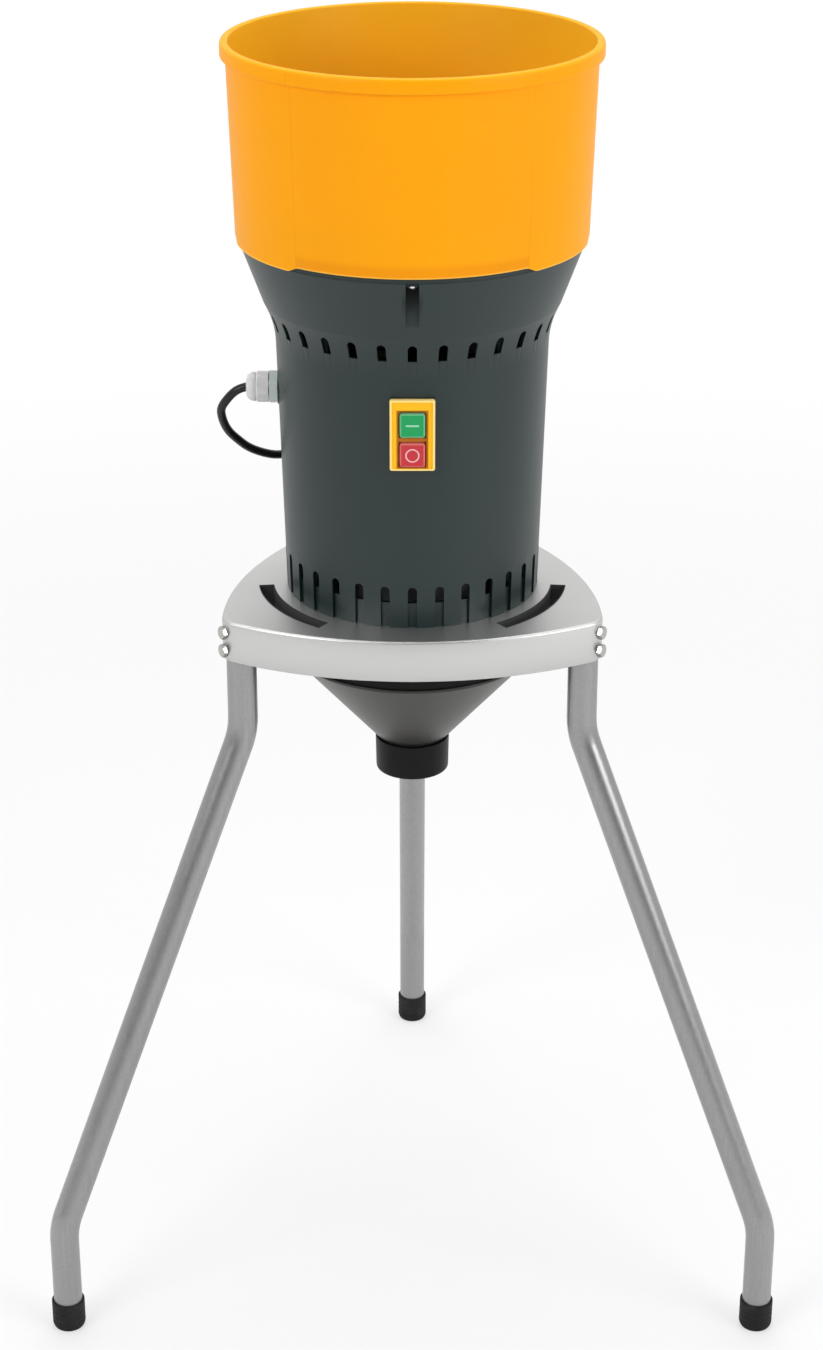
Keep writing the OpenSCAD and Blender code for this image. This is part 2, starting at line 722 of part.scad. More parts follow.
module hopper_screws() {
    color(zinc_colour) on_housing() at_angles(screw_angles) translate([hopper_screw_r, 0, 0]) {
        translate([0, 0, -shelf_t - screw_head_h]) cylinder(h = screw_head_h, r = screw_head_d / 2);
        translate([0, 0, -shelf_t - cut])
            cylinder(h = boss_h - hopper_wall + shelf_t, r = hopper_screw_d / 2);
    }
}

// ---- feed ducts ----
// Outside and inside of a duct, as flat outlines
module duct_outline() { ring_sector(duct_out_r, duct_r, duct_angle); }
module duct_bore() {
    ring_sector(duct_out_r - duct_wall, duct_r + duct_wall, duct_angle - 2 * asin(duct_wall / duct_r));
}

module feed_ducts() {
    flange = 2;
    color(body_colour) on_plate() at_angles(leg_angles) {
        translate([0, 0, plate_low]) linear_extrude(plate_t + housing_h + floor_h - hopper_wall)
            difference() {
                duct_outline();
                duct_bore();
            }
        // Flange that stands on the plate
        linear_extrude(duct_wall) difference() {
            ring_sector(duct_out_r + flange, duct_r - flange, duct_angle + 2 * asin(flange / duct_r));
            duct_bore();
        }
    }
}

// ---- switch ----
module switch_frame() {
    bar_h = button_gap - 2 * button_clear;
    well_low = -switch_h / 2 + rim_w;
    color(switch_colour) on_plate() translate([0, -pad_y, switch_z]) {
        difference() {
            translate([-switch_w / 2, -switch_t, -switch_h / 2]) cube([switch_w, switch_t, switch_h]);
            translate([-switch_w / 2 + rim_w, -switch_t - cut, -switch_h / 2 + rim_w])
                cube([switch_w - 2 * rim_w, rim_h + cut, switch_h - 2 * rim_w]);
            translate([-button_w / 2 - well_margin, -switch_t - cut, well_low])
                cube([button_w + 2 * well_margin, switch_t + 2 * cut, well_h]);
        }
        // Bar between the buttons
        translate([-button_w / 2 - well_margin - cut, -switch_t + rim_h + bar_sink,
                   stop_z - switch_z + button_h / 2 + button_clear])
            cube([button_w + 2 * well_margin + 2 * cut, switch_t - rim_h - bar_sink, bar_h]);
    }
}

module switch_body() {
    color(black_colour) on_plate() difference() {
        translate([-switch_body_w / 2, -pad_y, switch_z + body_low])
            cube([switch_body_w, switch_depth, body_high - body_low]);
        for (z = [stop_z, start_z])
            translate([-button_w / 2 - button_clear, -pad_y - cut, z - button_h / 2 - button_clear])
                cube([button_w + 2 * button_clear, pocket_l + cut, button_h + 2 * button_clear]);
    }
}

module button(z, colour) {
    corner = 2;
    color(colour) on_plate() translate([0, button_back_y, z]) rotate([90, 0, 0]) linear_extrude(button_l)
        union() {
            square([button_w - 2 * corner, button_h], center = true);
            square([button_w, button_h - 2 * corner], center = true);
            for (x = [-1, 1], y = [-1, 1])
                translate([x * (button_w / 2 - corner), y * (button_h / 2 - corner)])
                    circle(corner, $fn = 32);
        }
}
module start_button() { button(start_z, [0.12, 0.63, 0.37]); }
module stop_button() { button(stop_z, [0.80, 0.22, 0.25]); }

module button_spring(z) {
    color(zinc_colour) on_plate() translate([0, pocket_y, z]) rotate([90, 0, 0])
        tube(spring_r, spring_r - spring_wall, spring_l);
}
module start_spring() { button_spring(start_z); }
module stop_spring() { button_spring(stop_z); }

// ---- cable gland ----
// A piece of the gland: its profile runs outwards from the seat on the housing
module on_gland() { on_plate() translate([-gland_x, 0, gland_z]) rotate([0, -90, 0]) children(); }

module gland_body() {
    thread_r = gland_d / 2;
    color(gland_colour) on_gland() difference() {
        union() {
            linear_extrude(gland_body_l) hexagon(gland_flats);
            translate([0, 0, -gland_stub_l]) cylinder(h = gland_l, r = thread_r);
        }
        translate([0, 0, -gland_stub_l - cut]) cylinder(h = gland_l + 2 * cut, r = gland_bore_r);
    }
}

// Rubber sleeve that the nut presses around the cord
module gland_seal() {
    color(black_colour) on_gland() translate([0, 0, gland_body_l + gland_thread_l - gland_seal_l])
        tube(gland_bore_r, cord_r, gland_seal_l);
}

module gland_nut() {
    nut_r = gland_flats / 2 + 0.6;
    mouth_r = cord_r + 0.35;
    mouth_flare = 1.2;
    dome_l = 6;
    dome = [for (i = [0 : 6]) let (a = i * 15)
        [nut_r - dome_l + dome_l * cos(a), gland_nut_l - dome_l + dome_l * sin(a)]];
    color(gland_colour) on_gland() translate([0, 0, gland_body_l + side_clear]) rotate_extrude()
        polygon(concat([[gland_d / 2 + thread_clear, 0], [nut_r, 0]], dome,
            [[mouth_r + mouth_flare, gland_nut_l], [mouth_r, gland_nut_l - 2 * mouth_flare],
             [mouth_r, gland_thread_l + 0.5],
             [gland_d / 2 + thread_clear, gland_thread_l + 0.5]]));
}

module gland_locknut() {
    color(gland_colour) on_plate() translate([-locknut_x, 0, gland_z]) rotate([0, 90, 0])
        linear_extrude(locknut_t) difference() {
            hexagon(gland_flats);
            circle(gland_d / 2 + thread_clear);
        }
}

// ---- power cord ----
function unit(v) = v / norm(v);
// Point on a smooth curve between points i and i + 1 of a route
function blend_point(p, i, t) =
    let (a = p[max(i - 1, 0)], b = p[i], c = p[i + 1], d = p[min(i + 2, len(p) - 1)])
    0.5 * (2 * b + (c - a) * t + (2 * a - 5 * b + 4 * c - d) * t * t + (3 * b - a - 3 * c + d) * t * t * t);
// Each route point, and one more halfway to the next
function smooth(p) =
    concat([for (i = [0 : len(p) - 2], t = [0, 0.5]) blend_point(p, i, t)], [p[len(p) - 1]]);
function along(p) = [for (i = [0 : len(p) - 1]) unit(p[min(i + 1, len(p) - 1)] - p[max(i - 1, 0)])];
// Directions across the route, carried from ring to ring without twist
function across(t, last, i = 0) = i == len(t) ? [] :
    let (side = unit(last - (last * t[i]) * t[i])) concat([side], across(t, side, i + 1));

module swept_cord(route, sides = 10) {
    points = smooth(route);
    rings = len(points);
    ahead = along(points);
    side = across(ahead, [0.3, 0.2, 1]);
    skin = [for (i = [0 : rings - 1], k = [0 : sides - 1]) let (a = 360 * k / sides)
        points[i] + cord_r * (cos(a) * side[i] + sin(a) * cross(ahead[i], side[i]))];
    faces = concat([[for (k = [0 : sides - 1]) k]],
        [for (i = [0 : rings - 2], k = [0 : sides - 1]) let (m = (k + 1) % sides)
            [i * sides + k, (i + 1) * sides + k, (i + 1) * sides + m, i * sides + m]],
        [[for (k = [sides - 1 : -1 : 0]) (rings - 1) * sides + k]]);
    polyhedron(skin, faces);
}

module power_cord() { color(black_colour) on_plate() swept_cord(cord_route); }
module cord_tail() { color(black_colour) on_plate() swept_cord(tail_route); }
module cord_end() { color(black_colour) on_plate() swept_cord(end_route); }

module cord_coil() {
    color(black_colour) on_plate() translate(coil_at)
        tube(coil_r + cord_d, coil_r - cord_d, coil_rows * cord_d);
}

module cord_tie() {
    inner = [2 * cord_d + 0.4, coil_rows * cord_d + 0.1];
    color(black_colour) on_plate() translate([coil_at[0], coil_at[1], 0]) rotate(tie_angle)
        translate([coil_r, tie_w / 2, inner[1] / 2 + tie_t]) rotate([90, 0, 0]) linear_extrude(tie_w)
            difference() {
                square([inner[0] + 2 * tie_t, inner[1] + 2 * tie_t], center = true);
                square(inner, center = true);
            }
}

// A piece of the plug: its profile runs from the cord's end towards the pins
module on_plug() { on_plate() translate(plug_at) rotate([0, 90 - plug_tilt, 0]) children(); }

module plug_body() {
    waist_r = 12;
    color(black_colour) on_plug() rotate_extrude() polygon([
        [0, 0], [cord_r + 0.9, 0], [cord_r + 2.6, relief_l], [waist_r - 2, relief_l + 1],
        [waist_r, relief_l + 8], [waist_r + 0.5, plug_l - plug_head_l - 4],
        [plug_d / 2, plug_waist_l], [plug_d / 2, plug_l - 2], [plug_d / 2 - 1.5, plug_l], [0, plug_l]]);
}

module plug_pins() {
    color(zinc_colour) on_plug() for (y = [-1, 1]) translate([0, y * pin_gap / 2, plug_l])
        union() {
            cylinder(h = pin_l - 2, r = pin_d / 2);
            translate([0, 0, pin_l - 2]) cylinder(h = 2, r1 = pin_d / 2, r2 = pin_d / 2 - 1.2);
        }
}

// ---- motor ----
module stator() {
    color(iron_colour) on_plate() translate([0, 0, stator_z])
        tube(stator_r, rotor_d / 2 + air_gap, stator_h);
}

module windings() {
    color(copper_colour) on_plate() for (z = [stator_z - winding_h, stator_top])
        translate([0, 0, z]) tube(winding_r, rotor_d / 2 + 4, winding_h);
}

module rotor_core() {
    color(alloy_colour) on_plate() translate([0, 0, stator_z])
        tube(rotor_d / 2, shaft_r + thread_clear, stator_h);
}

module shaft() {
    color(steel_colour) on_plate() translate([0, 0, shaft_low]) difference() {
        union() {
            translate([0, 0, 1]) cylinder(h = shaft_top - shaft_low - 2, r = shaft_r);
            cylinder(h = 1, r1 = shaft_r - 1, r2 = shaft_r);
            translate([0, 0, shaft_top - shaft_low - 1]) cylinder(h = 1, r1 = shaft_r, r2 = shaft_r - 1);
        }
        // Groove of the fan's clip
        translate([0, 0, clip_z - shaft_low]) tube(shaft_r + cut, shaft_r - 0.8, clip_t + 0.2);
    }
}

// A ball bearing: two races with the balls' shadow gap between them, closed by shields
module bearing(z) {
    gap_r = (bearing_r + shaft_r) / 2;
    color(zinc_colour) on_plate() translate([0, 0, z]) difference() {
        tube(bearing_r, shaft_r + run_clear, bearing_h);
        for (h = [-cut, bearing_h - 1]) translate([0, 0, h]) tube(gap_r + 2.5, gap_r - 2.5, 1 + cut);
    }
}
module lower_bearing() { bearing(lower_bearing_z); }
module upper_bearing() { bearing(upper_bearing_z); }

// Half of an end shield's section, from its plate towards the stator
module shield_section(height) {
    bore = bearing_r + thread_clear;
    axle = shaft_r + 4;
    reach = height + shield_lip;
    polygon([[axle, 0], [shield_r, 0], [shield_r, reach], [shield_bore_r, reach],
             [shield_bore_r, height], [stator_r - 4, height], [stator_r - 4, shield_t],
             [bore + seat_wall, shield_t], [bore + seat_wall, shield_t + bearing_h],
             [bore, shield_t + bearing_h], [bore, shield_t], [axle, shield_t]]);
}

module end_shield(height) {
    difference() {
        rotate_extrude() shield_section(height);
        at_angles(motor_bolt_angles) translate([motor_bolt_r, 0, -cut])
            cylinder(h = height + shield_lip + 2 * cut, r = motor_bolt_d / 2 + hole_clear);
    }
}

module lower_end_shield() { color(alloy_colour) on_plate() end_shield(lower_shield_h); }
module upper_end_shield() {
    color(alloy_colour) on_plate() translate([0, 0, shield_top])
        mirror([0, 0, 1]) end_shield(upper_shield_h);
}

module motor_bolts() {
    head_h = 3.5;
    low = plate_low - m5_nut_h - thread_end;
    color(zinc_colour) on_plate() at_angles(motor_bolt_angles) translate([motor_bolt_r, 0, 0]) {
        translate([0, 0, shield_top]) linear_extrude(head_h) hexagon(motor_bolt_d + 2);
        translate([0, 0, low]) cylinder(h = shield_top - low + cut, r = motor_bolt_d / 2);
    }
}

module motor_nuts() {
    color(zinc_colour) on_plate() at_angles(motor_bolt_angles)
        translate([motor_bolt_r, 0, plate_low - m5_nut_h]) linear_extrude(m5_nut_h) difference() {
            hexagon(m5_flats);
            circle(motor_bolt_d / 2 + thread_clear);
        }
}

module fan() {
    hub = shaft_r + hub_wall;
    color(black_colour) on_plate() translate([0, 0, fan_z]) difference() {
        union() {
            cylinder(h = fan_disc_t, r = fan_d / 2);
            cylinder(h = fan_h, r = hub);
            for (i = [0 : fan_vanes - 1]) rotate(i * 360 / fan_vanes)
                translate([shaft_r + 2, -vane_t / 2, 0]) cube([fan_d / 2 - shaft_r - 3, vane_t, fan_h - 2]);
        }
        translate([0, 0, -cut]) cylinder(h = fan_h + 2 * cut, r = shaft_r + thread_clear);
    }
}

module fan_clip() {
    color(zinc_colour) on_plate() translate([0, 0, clip_z + 0.1]) linear_extrude(clip_t) difference() {
        ring(shaft_r + 3, shaft_r - 0.8 + thread_clear);
        translate([shaft_r, 0]) square([2 * shaft_r, shaft_r], center = true);
    }
}

module fan_cowl() {
    color(iron_colour) on_plate() difference() {
        translate([0, 0, shield_top]) union() {
            tube(cowl_r, cowl_r - cowl_wall, cowl_h);
            translate([0, 0, cowl_h - cowl_wall]) cylinder(h = cowl_wall, r = cowl_r);
        }
        translate([0, 0, cowl_top - cowl_wall - cut]) linear_extrude(cowl_wall + 2 * cut) {
            circle(2 * inlet_r);
            for (a = inlet_angles, r = inlet_rows) rotate(a) translate([r, 0]) circle(inlet_r);
        }
    }
}

module capacitor() {
    cap_r = capacitor_d / 2;
    color(gland_colour) on_plate() translate([capacitor_x, 0, cowl_top + clip_wall]) rotate_extrude()
        polygon([[0, 0], [cap_r, 0], [cap_r, capacitor_l - 3], [cap_r - 2, capacitor_l], [0, capacitor_l]]);
}

module capacitor_clip() {
    cap_r = capacitor_d / 2 + thread_clear;
    color(black_colour) on_plate() translate([capacitor_x, 0, cowl_top]) {
        cylinder(h = clip_wall, r = cap_r + clip_wall);
        tube(cap_r + clip_wall, cap_r, clip_h);
    }
}

module terminal_block() {
    color(gland_colour) on_plate() translate([terminal_x, 0, cowl_top]) difference() {
        translate([-terminal_size[0] / 2, -terminal_size[1] / 2, 0]) cube(terminal_size);
        for (i = [-1.5 : 1.5], side = [-1, 1])
            translate([side * terminal_size[0] / 4, i * terminal_size[1] / 4.4, terminal_size[2] / 2])
                cylinder(h = terminal_size[2] / 2 + cut, r = terminal_hole_r);
    }
}

// ---- milling chamber ----
module blade() {
    edge = blade_w / 4.5;
    bevel = 0.75 * blade_t;
    color(steel_colour) on_plate() translate([0, 0, blade_z]) difference() {
        linear_extrude(blade_t) intersection() {
            square([blade_l, blade_w], center = true);
            circle(blade_l / 2);
        }
        // Bevel of the cutting edge at each tip
        for (turn = [0, 180]) rotate(turn) translate([blade_l / 4, blade_w / 2 - edge, blade_t])
            rotate([-atan(bevel / edge), 0, 0]) cube([blade_l / 4 + cut, 2 * edge, edge]);
        translate([0, 0, -cut]) cylinder(h = blade_t + 2 * cut, r = shaft_r + thread_clear);
    }
}

module blade_hub() {
    color(alloy_colour) on_plate() translate([0, 0, blade_z + blade_t])
        tube(hub_r, shaft_r + thread_clear, lower_bearing_z - side_clear - blade_z - blade_t);
}

module blade_nut() {
    color(zinc_colour) on_plate() translate([0, 0, blade_z - nut_h]) linear_extrude(nut_h) difference() {
        hexagon(nut_flats);
        circle(shaft_r + thread_clear);
    }
}

module sieve() {
    rings = floor((sieve_r - sieve_hole_d - sieve_ledge) / sieve_pitch);
    color(steel_colour) on_plate() translate([0, 0, sieve_z]) linear_extrude(sieve_t) difference() {
        circle(sieve_r);
        for (k = [1 : rings], i = [0 : 6 * k - 1]) rotate(i * 60 / k)
            translate([k * sieve_pitch, 0]) circle(sieve_hole_d / 2, $fn = 24);
    }
}

module chamber_ring() {
    inner = chamber_r - chamber_wall;
    color(black_colour) on_plate() difference() {
        union() {
            translate([0, 0, chamber_low]) tube(chamber_r, inner, chamber_h);
            translate([0, 0, ledge_z]) tube(inner + cut, inner - sieve_ledge, 3);
            at_angles(screw_angles) translate([chamber_bolt_r - lug_reach, -lug_w / 2, plate_low - lug_h])
                cube([inner - chamber_bolt_r + lug_reach + cut, lug_w, lug_h]);
        }
        at_angles(screw_angles) translate([chamber_bolt_r, 0, plate_low - lug_h - cut])
            cylinder(h = lug_h + 2 * cut, r = chamber_bolt_d / 2 + hole_clear);
        at_angles(leg_angles) translate([0, 0, funnel_screw_z])
            outwards(inner - cut, chamber_r + cut) circle(funnel_screw_r + hole_clear);
    }
}

module chamber_bolts() {
    low = plate_low - lug_h;
    color(zinc_colour) on_plate() at_angles(screw_angles) translate([chamber_bolt_r, 0, 0]) {
        translate([0, 0, low - bolt_head_h]) linear_extrude(bolt_head_h) hexagon(m5_flats);
        translate([0, 0, low - cut])
            cylinder(h = lug_h + m5_nut_h + thread_end - low + cut, r = chamber_bolt_d / 2);
    }
}

module chamber_nuts() {
    color(zinc_colour) on_plate() at_angles(screw_angles) translate([chamber_bolt_r, 0, lug_h])
        linear_extrude(m5_nut_h) difference() {
            hexagon(m5_flats);
            circle(chamber_bolt_d / 2 + thread_clear);
        }
}

// ---- funnel ----
module funnel() {
    inner = funnel_spigot_r - funnel_wall;
    color(funnel_colour) on_plate() difference() {
        rotate_extrude() polygon([
            [neck_r, funnel_low - outlet_h + 6], [neck_r, funnel_low],
            [neck_r + outlet_wall + 1, funnel_low + 3.5], [funnel_r, chamber_low - 2.3],
            [funnel_r, chamber_low], [funnel_spigot_r, chamber_low],
            [funnel_spigot_r, chamber_low + spigot_rise], [inner, chamber_low + spigot_rise],
            [inner, chamber_low - 5],
            [neck_r - funnel_wall, funnel_low], [neck_r - funnel_wall, funnel_low - outlet_h + 6]]);
        at_angles(leg_angles) translate([0, 0, funnel_screw_z])
            outwards(inner - cut, funnel_r) circle(funnel_screw_r + thread_clear);
    }
}

module funnel_screws() {
    head_h = 2.8;
    color(zinc_colour) on_plate() at_angles(leg_angles) translate([0, 0, funnel_screw_z]) {
        outwards(chamber_r, chamber_r + head_h) circle(2 * funnel_screw_r);
        outwards(funnel_spigot_r - funnel_wall - 1.5, chamber_r + cut) circle(funnel_screw_r);
    }
}

module outlet_collar() {
    color(black_colour) on_plate() translate([0, 0, outlet_top - outlet_h]) rotate_extrude() polygon([
        [neck_r + thread_clear, 0], [outlet_r - 2, 0], [outlet_r - 0.6, 0.6], [outlet_r, 2],
        [outlet_r, outlet_h - 3.5], [neck_r + thread_clear, outlet_h - 3.5]]);
}

// ---- the whole mill ----
hopper();
hopper_screws();
housing();
feed_ducts();
switch_frame();
switch_body();
start_button();
stop_button();
start_spring();
stop_spring();
gland_body();
gland_nut();
gland_seal();
gland_locknut();
power_cord();
cord_tail();
cord_coil();
cord_tie();
cord_end();
plug_body();
plug_pins();
stator();
windings();
rotor_core();
shaft();
lower_bearing();
upper_bearing();
lower_end_shield();
upper_end_shield();
motor_bolts();
motor_nuts();
fan();
fan_clip();
fan_cowl();
capacitor();
capacitor_clip();
terminal_block();
blade();
blade_hub();
blade_nut();
sieve();
chamber_ring();
chamber_bolts();
chamber_nuts();
funnel();
funnel_screws();
outlet_collar();
stand_plate();
leg_left();
leg_right();
leg_back();
foot_cap_left();
foot_cap_right();
foot_cap_back();
leg_bolts();
leg_nuts();
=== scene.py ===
"""Dressed scene of an electric grain mill that stands on three tubular legs.

Lengths are in millimetres in the classes below and become metres where a mesh is made. The frame
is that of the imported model: +Z is up, the front faces -Y and the mill's axis is at MILL_Y.
"""

from __future__ import annotations

import json
import logging
import math
from dataclasses import dataclass
from enum import Enum
from functools import cache
from typing import Any, Iterable, Sequence, Union

import bmesh
import bpy
import numpy as np
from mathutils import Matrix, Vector

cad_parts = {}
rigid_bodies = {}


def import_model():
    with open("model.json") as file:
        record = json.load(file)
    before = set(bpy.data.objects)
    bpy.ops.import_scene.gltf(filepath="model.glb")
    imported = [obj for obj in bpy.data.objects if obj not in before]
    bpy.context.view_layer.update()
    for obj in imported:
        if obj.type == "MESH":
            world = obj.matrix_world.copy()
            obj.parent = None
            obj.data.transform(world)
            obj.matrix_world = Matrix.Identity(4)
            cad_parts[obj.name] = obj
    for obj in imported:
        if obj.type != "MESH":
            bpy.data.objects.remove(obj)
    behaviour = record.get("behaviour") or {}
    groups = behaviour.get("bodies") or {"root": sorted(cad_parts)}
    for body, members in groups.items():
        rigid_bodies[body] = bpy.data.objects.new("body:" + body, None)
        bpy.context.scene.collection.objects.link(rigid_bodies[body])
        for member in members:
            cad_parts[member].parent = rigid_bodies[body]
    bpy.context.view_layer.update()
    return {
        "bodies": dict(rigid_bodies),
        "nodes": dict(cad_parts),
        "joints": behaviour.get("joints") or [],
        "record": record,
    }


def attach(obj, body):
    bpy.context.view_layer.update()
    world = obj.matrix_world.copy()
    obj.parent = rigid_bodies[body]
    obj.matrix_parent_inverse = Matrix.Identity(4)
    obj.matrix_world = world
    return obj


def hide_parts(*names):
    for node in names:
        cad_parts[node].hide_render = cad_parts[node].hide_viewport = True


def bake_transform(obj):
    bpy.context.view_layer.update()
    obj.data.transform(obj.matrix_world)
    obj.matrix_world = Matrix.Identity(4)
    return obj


LOG = logging.getLogger("grain_mill")
MM = 0.001
MILL_Y = -87.75
LEG_ANGLES = (90.0, 210.0, 330.0)
SCREW_ANGLES = (30.0, 150.0, 270.0)


class Level(Enum):
    """Heights that the pieces are measured from, in millimetres above the floor."""

    FLOOR = 0.0
    PLATE = 641.0
    HOPPER = 941.0


# ---------------------------------------------------------------- shader nodes

Value = Union[float, Sequence[float], "Sock"]
Key = Union[str, int]
Sockets = dict[Key, Value]


class Sock:
    """A shader socket whose arithmetic adds Math nodes."""

    def __init__(self, graph: Graph, socket: bpy.types.NodeSocket) -> None:
        """Wraps one output socket of a graph."""
        self.graph = graph
        self.socket = socket

    def math(self, operation: str, *values: Value) -> Sock:
        """Adds a Math node.

        Args:
            operation: the node's operation.
            values: its inputs, in order.

        Returns:
            The node's result.
        """
        return self.graph.node("Math", {"operation": operation}, dict(enumerate(values)))

    def __add__(self, other: Value) -> Sock:
        """self + other."""
        return self.math("ADD", self, other)

    def __sub__(self, other: Value) -> Sock:
        """self - other."""
        return self.math("SUBTRACT", self, other)

    def __rsub__(self, other: Value) -> Sock:
        """other - self."""
        return self.math("SUBTRACT", other, self)

    def __mul__(self, other: Value) -> Sock:
        """self * other."""
        return self.math("MULTIPLY", self, other)

    def __pow__(self, other: Value) -> Sock:
        """self ** other."""
        return self.math("POWER", self, other)

    def __lt__(self, other: Value) -> Sock:
        """1 where self is under other, else 0."""
        return self.math("LESS_THAN", self, other)

    __radd__ = __add__
    __rmul__ = __mul__

    def cos(self) -> Sock:
        """Cosine of self, in radians."""
        return self.math("COSINE", self)

    def split(self) -> tuple[Sock, Sock, Sock]:
        """x, y and z of a vector."""
        x, y, z = self.graph.add("SeparateXYZ", None, {0: self}).outputs
        return Sock(self.graph, x), Sock(self.graph, y), Sock(self.graph, z)

    def between(self, low: float, high: float) -> Sock:
        """Smooth step of self, 3f^2 - 2f^3 at the part f of the way from low to high.

        Args:
            low: where the step leaves 0.
            high: where it reaches 1.

        Returns:
            The step, which stays 0 before and 1 after.
        """
        return self.graph.node(
            "MapRange",
            {"interpolation_type": "SMOOTHSTEP"},
            {"Value": self, "From Min": low, "From Max": high},
        )

    def between_mm(self, low: float, high: float) -> Sock:
        """The same step for a length in metres, with both ends in millimetres."""
        return self.between(low * MM, high * MM)


class Graph:
    """The node tree of one material or world."""

    # A Mix node's names repeat for each type of data, so its colour sockets go by number.
    MIX_FACTOR, MIX_FIRST, MIX_SECOND, MIX_COLOUR = 0, 6, 7, 2

    def __init__(self, tree: bpy.types.NodeTree) -> None:
        """Empties the tree and keeps it."""
        self.tree = tree
        tree.nodes.clear()

    def add(
        self,
        kind: str,
        settings: dict[str, Any] | None = None,
        inputs: Sockets | None = None,
    ) -> bpy.types.Node:
        """Adds a node.

        Args:
            kind: the node's type without its ShaderNode prefix.
            settings: its settings, set before its sockets.
            inputs: a value or a link for each socket, by name or number.

        Returns:
            The node.
        """
        made = self.tree.nodes.new("ShaderNode" + kind)
        for key, value in (settings or {}).items():
            setattr(made, key, value)
        for key, value in (inputs or {}).items():
            if isinstance(value, Sock):
                self.tree.links.new(value.socket, made.inputs[key])
            elif isinstance(value, (tuple, list)) and made.inputs[key].type == "RGBA":
                made.inputs[key].default_value = (*value, 1.0)
            else:
                made.inputs[key].default_value = value
        return made

    def node(
        self,
        kind: str,
        settings: dict[str, Any] | None = None,
        inputs: Sockets | None = None,
        output: Key = 0,
    ) -> Sock:
        """Adds a node in the same way and returns one of its outputs, by name or number."""
        return Sock(self, self.add(kind, settings, inputs).outputs[output])

    def show(self, kind: str, shader: Sock) -> None:
        """Ends the tree with a shader's output node, OutputMaterial or OutputWorld."""
        self.add(kind, None, {"Surface": shader})

    def place(self) -> Sock:
        """Object coordinates, which are metres in the row's frame."""
        return self.node("TexCoord", output="Object")

    def axes(self) -> tuple[Sock, Sock, Sock]:
        """Place on the surface, in metres.

        Returns:
            x and y from the mill's axis and z from the floor.
        """
        x, y, z = self.place().split()
        return x, y - MILL_Y * MM, z

    def off_axis(self) -> Sock:
        """Distance from the mill's axis in metres, the root of x^2 + y^2."""
        x, y, _ = self.axes()
        return (x * x + y * y) ** 0.5

    def wave(self, crests: int) -> Sock:
        """Wave cos(n(a + 90 degrees)) of the angle a about the axis: n crests, one in front."""
        x, y, _ = self.axes()
        return ((x.math("ARCTAN2", y, x) + math.radians(90.0)) * float(crests)).cos()

    def inside_box(self, half: Sequence[float], middle: float, soft: float) -> Sock:
        """Mask of an upright rectangle about the mill's middle plane, as seen from the front.

        Args:
            half: half the width and half the height in millimetres.
            middle: height of its middle above the floor in millimetres.
            soft: width of the mask's edge in millimetres.

        Returns:
            1 inside and 0 outside.
        """
        x, _, z = self.axes()
        across = x.math("ABSOLUTE", x) - half[0] * MM
        up = z.math("ABSOLUTE", z - middle * MM) - half[1] * MM
        return 1 - up.math("MAXIMUM", across, up).between_mm(-soft / 2, soft / 2)

    def noise(self, scale: float, detail: float, stretch: Sequence[float] = (1, 1, 1)) -> Sock:
        """Noise of 0 to 1 in object coordinates.

        Args:
            scale: blobs in a metre.
            detail: octaves.
            stretch: factors on the three axes, small along a streak.

        Returns:
            The noise value.
        """
        inputs = {0: self.place(), 1: tuple(stretch)}
        at = self.node("VectorMath", {"operation": "MULTIPLY"}, inputs)
        return self.node("TexNoise", None, {"Vector": at, "Scale": scale, "Detail": detail})

    def blend(self, factor: Value, first: Value, second: Value) -> Sock:
        """Colour that goes from first to second with factor."""
        inputs = {self.MIX_FACTOR: factor, self.MIX_FIRST: first, self.MIX_SECOND: second}
        return self.node("Mix", {"data_type": "RGBA"}, inputs, self.MIX_COLOUR)

    def tones(self, factor: Sock, code: str, dark: float, pale: float) -> Sock:
        """Colour of a code that goes from its dark to its pale multiple with factor."""
        return self.blend(factor, shaded(code, dark), shaded(code, pale))

    def bump(self, height: Sock, depth: float, under: Sock | None = None) -> Sock:
        """Normal of a relief.

        Args:
            height: the relief, 0 to 1.
            depth: its height in metres.
            under: a normal that it lies on.

        Returns:
            The bumped normal.
        """
        inputs: Sockets = {"Height": height, "Distance": depth, "Strength": 1.0}
        if under is not None:
            inputs["Normal"] = under
        return self.node("Bump", None, inputs)


def srgb(code: str) -> tuple[float, float, float]:
    """Linear colour of a hexadecimal code such as fda71b, by the curve of the sRGB standard."""
    parts = [int(code[i : i + 2], 16) / 255 for i in (0, 2, 4)]
    return tuple(p / 12.92 if p < 0.04045 else ((p + 0.055) / 1.055) ** 2.4 for p in parts)


def shaded(code: str, factor: float) -> tuple[float, float, float]:
    """Linear colour of a code, made lighter or darker by one factor and held under 1."""
    return tuple(min(part * factor, 1.0) for part in srgb(code))


# ---------------------------------------------------------------- finishes


@dataclass(frozen=True)
class Finish:
    """A surface finish: colour, roughness and the size of its texture."""

    name: str
    code: str
    roughness: float

    def material(self) -> bpy.types.Material:
        """The finish as a material, which is made once."""
        return made_material(self)

    def paint(self, graph: Graph) -> Sockets:
        """Sockets of the Principled shader.

        Args:
            graph: the material's node tree.

        Returns:
            A value or a link for each socket.
        """
        raise NotImplementedError


@cache
def made_material(finish: Finish) -> bpy.types.Material:
    """Builds a finish's material.

    Args:
        finish: the finish, which gives the sockets.

    Returns:
        The material.
    """
    material = bpy.data.materials.new(finish.name)
    material.use_nodes = True
    graph = Graph(material.node_tree)
    graph.show("OutputMaterial", graph.node("BsdfPrincipled", None, finish.paint(graph)))
    material.diffuse_color = (*srgb(finish.code), 1.0)
    return material


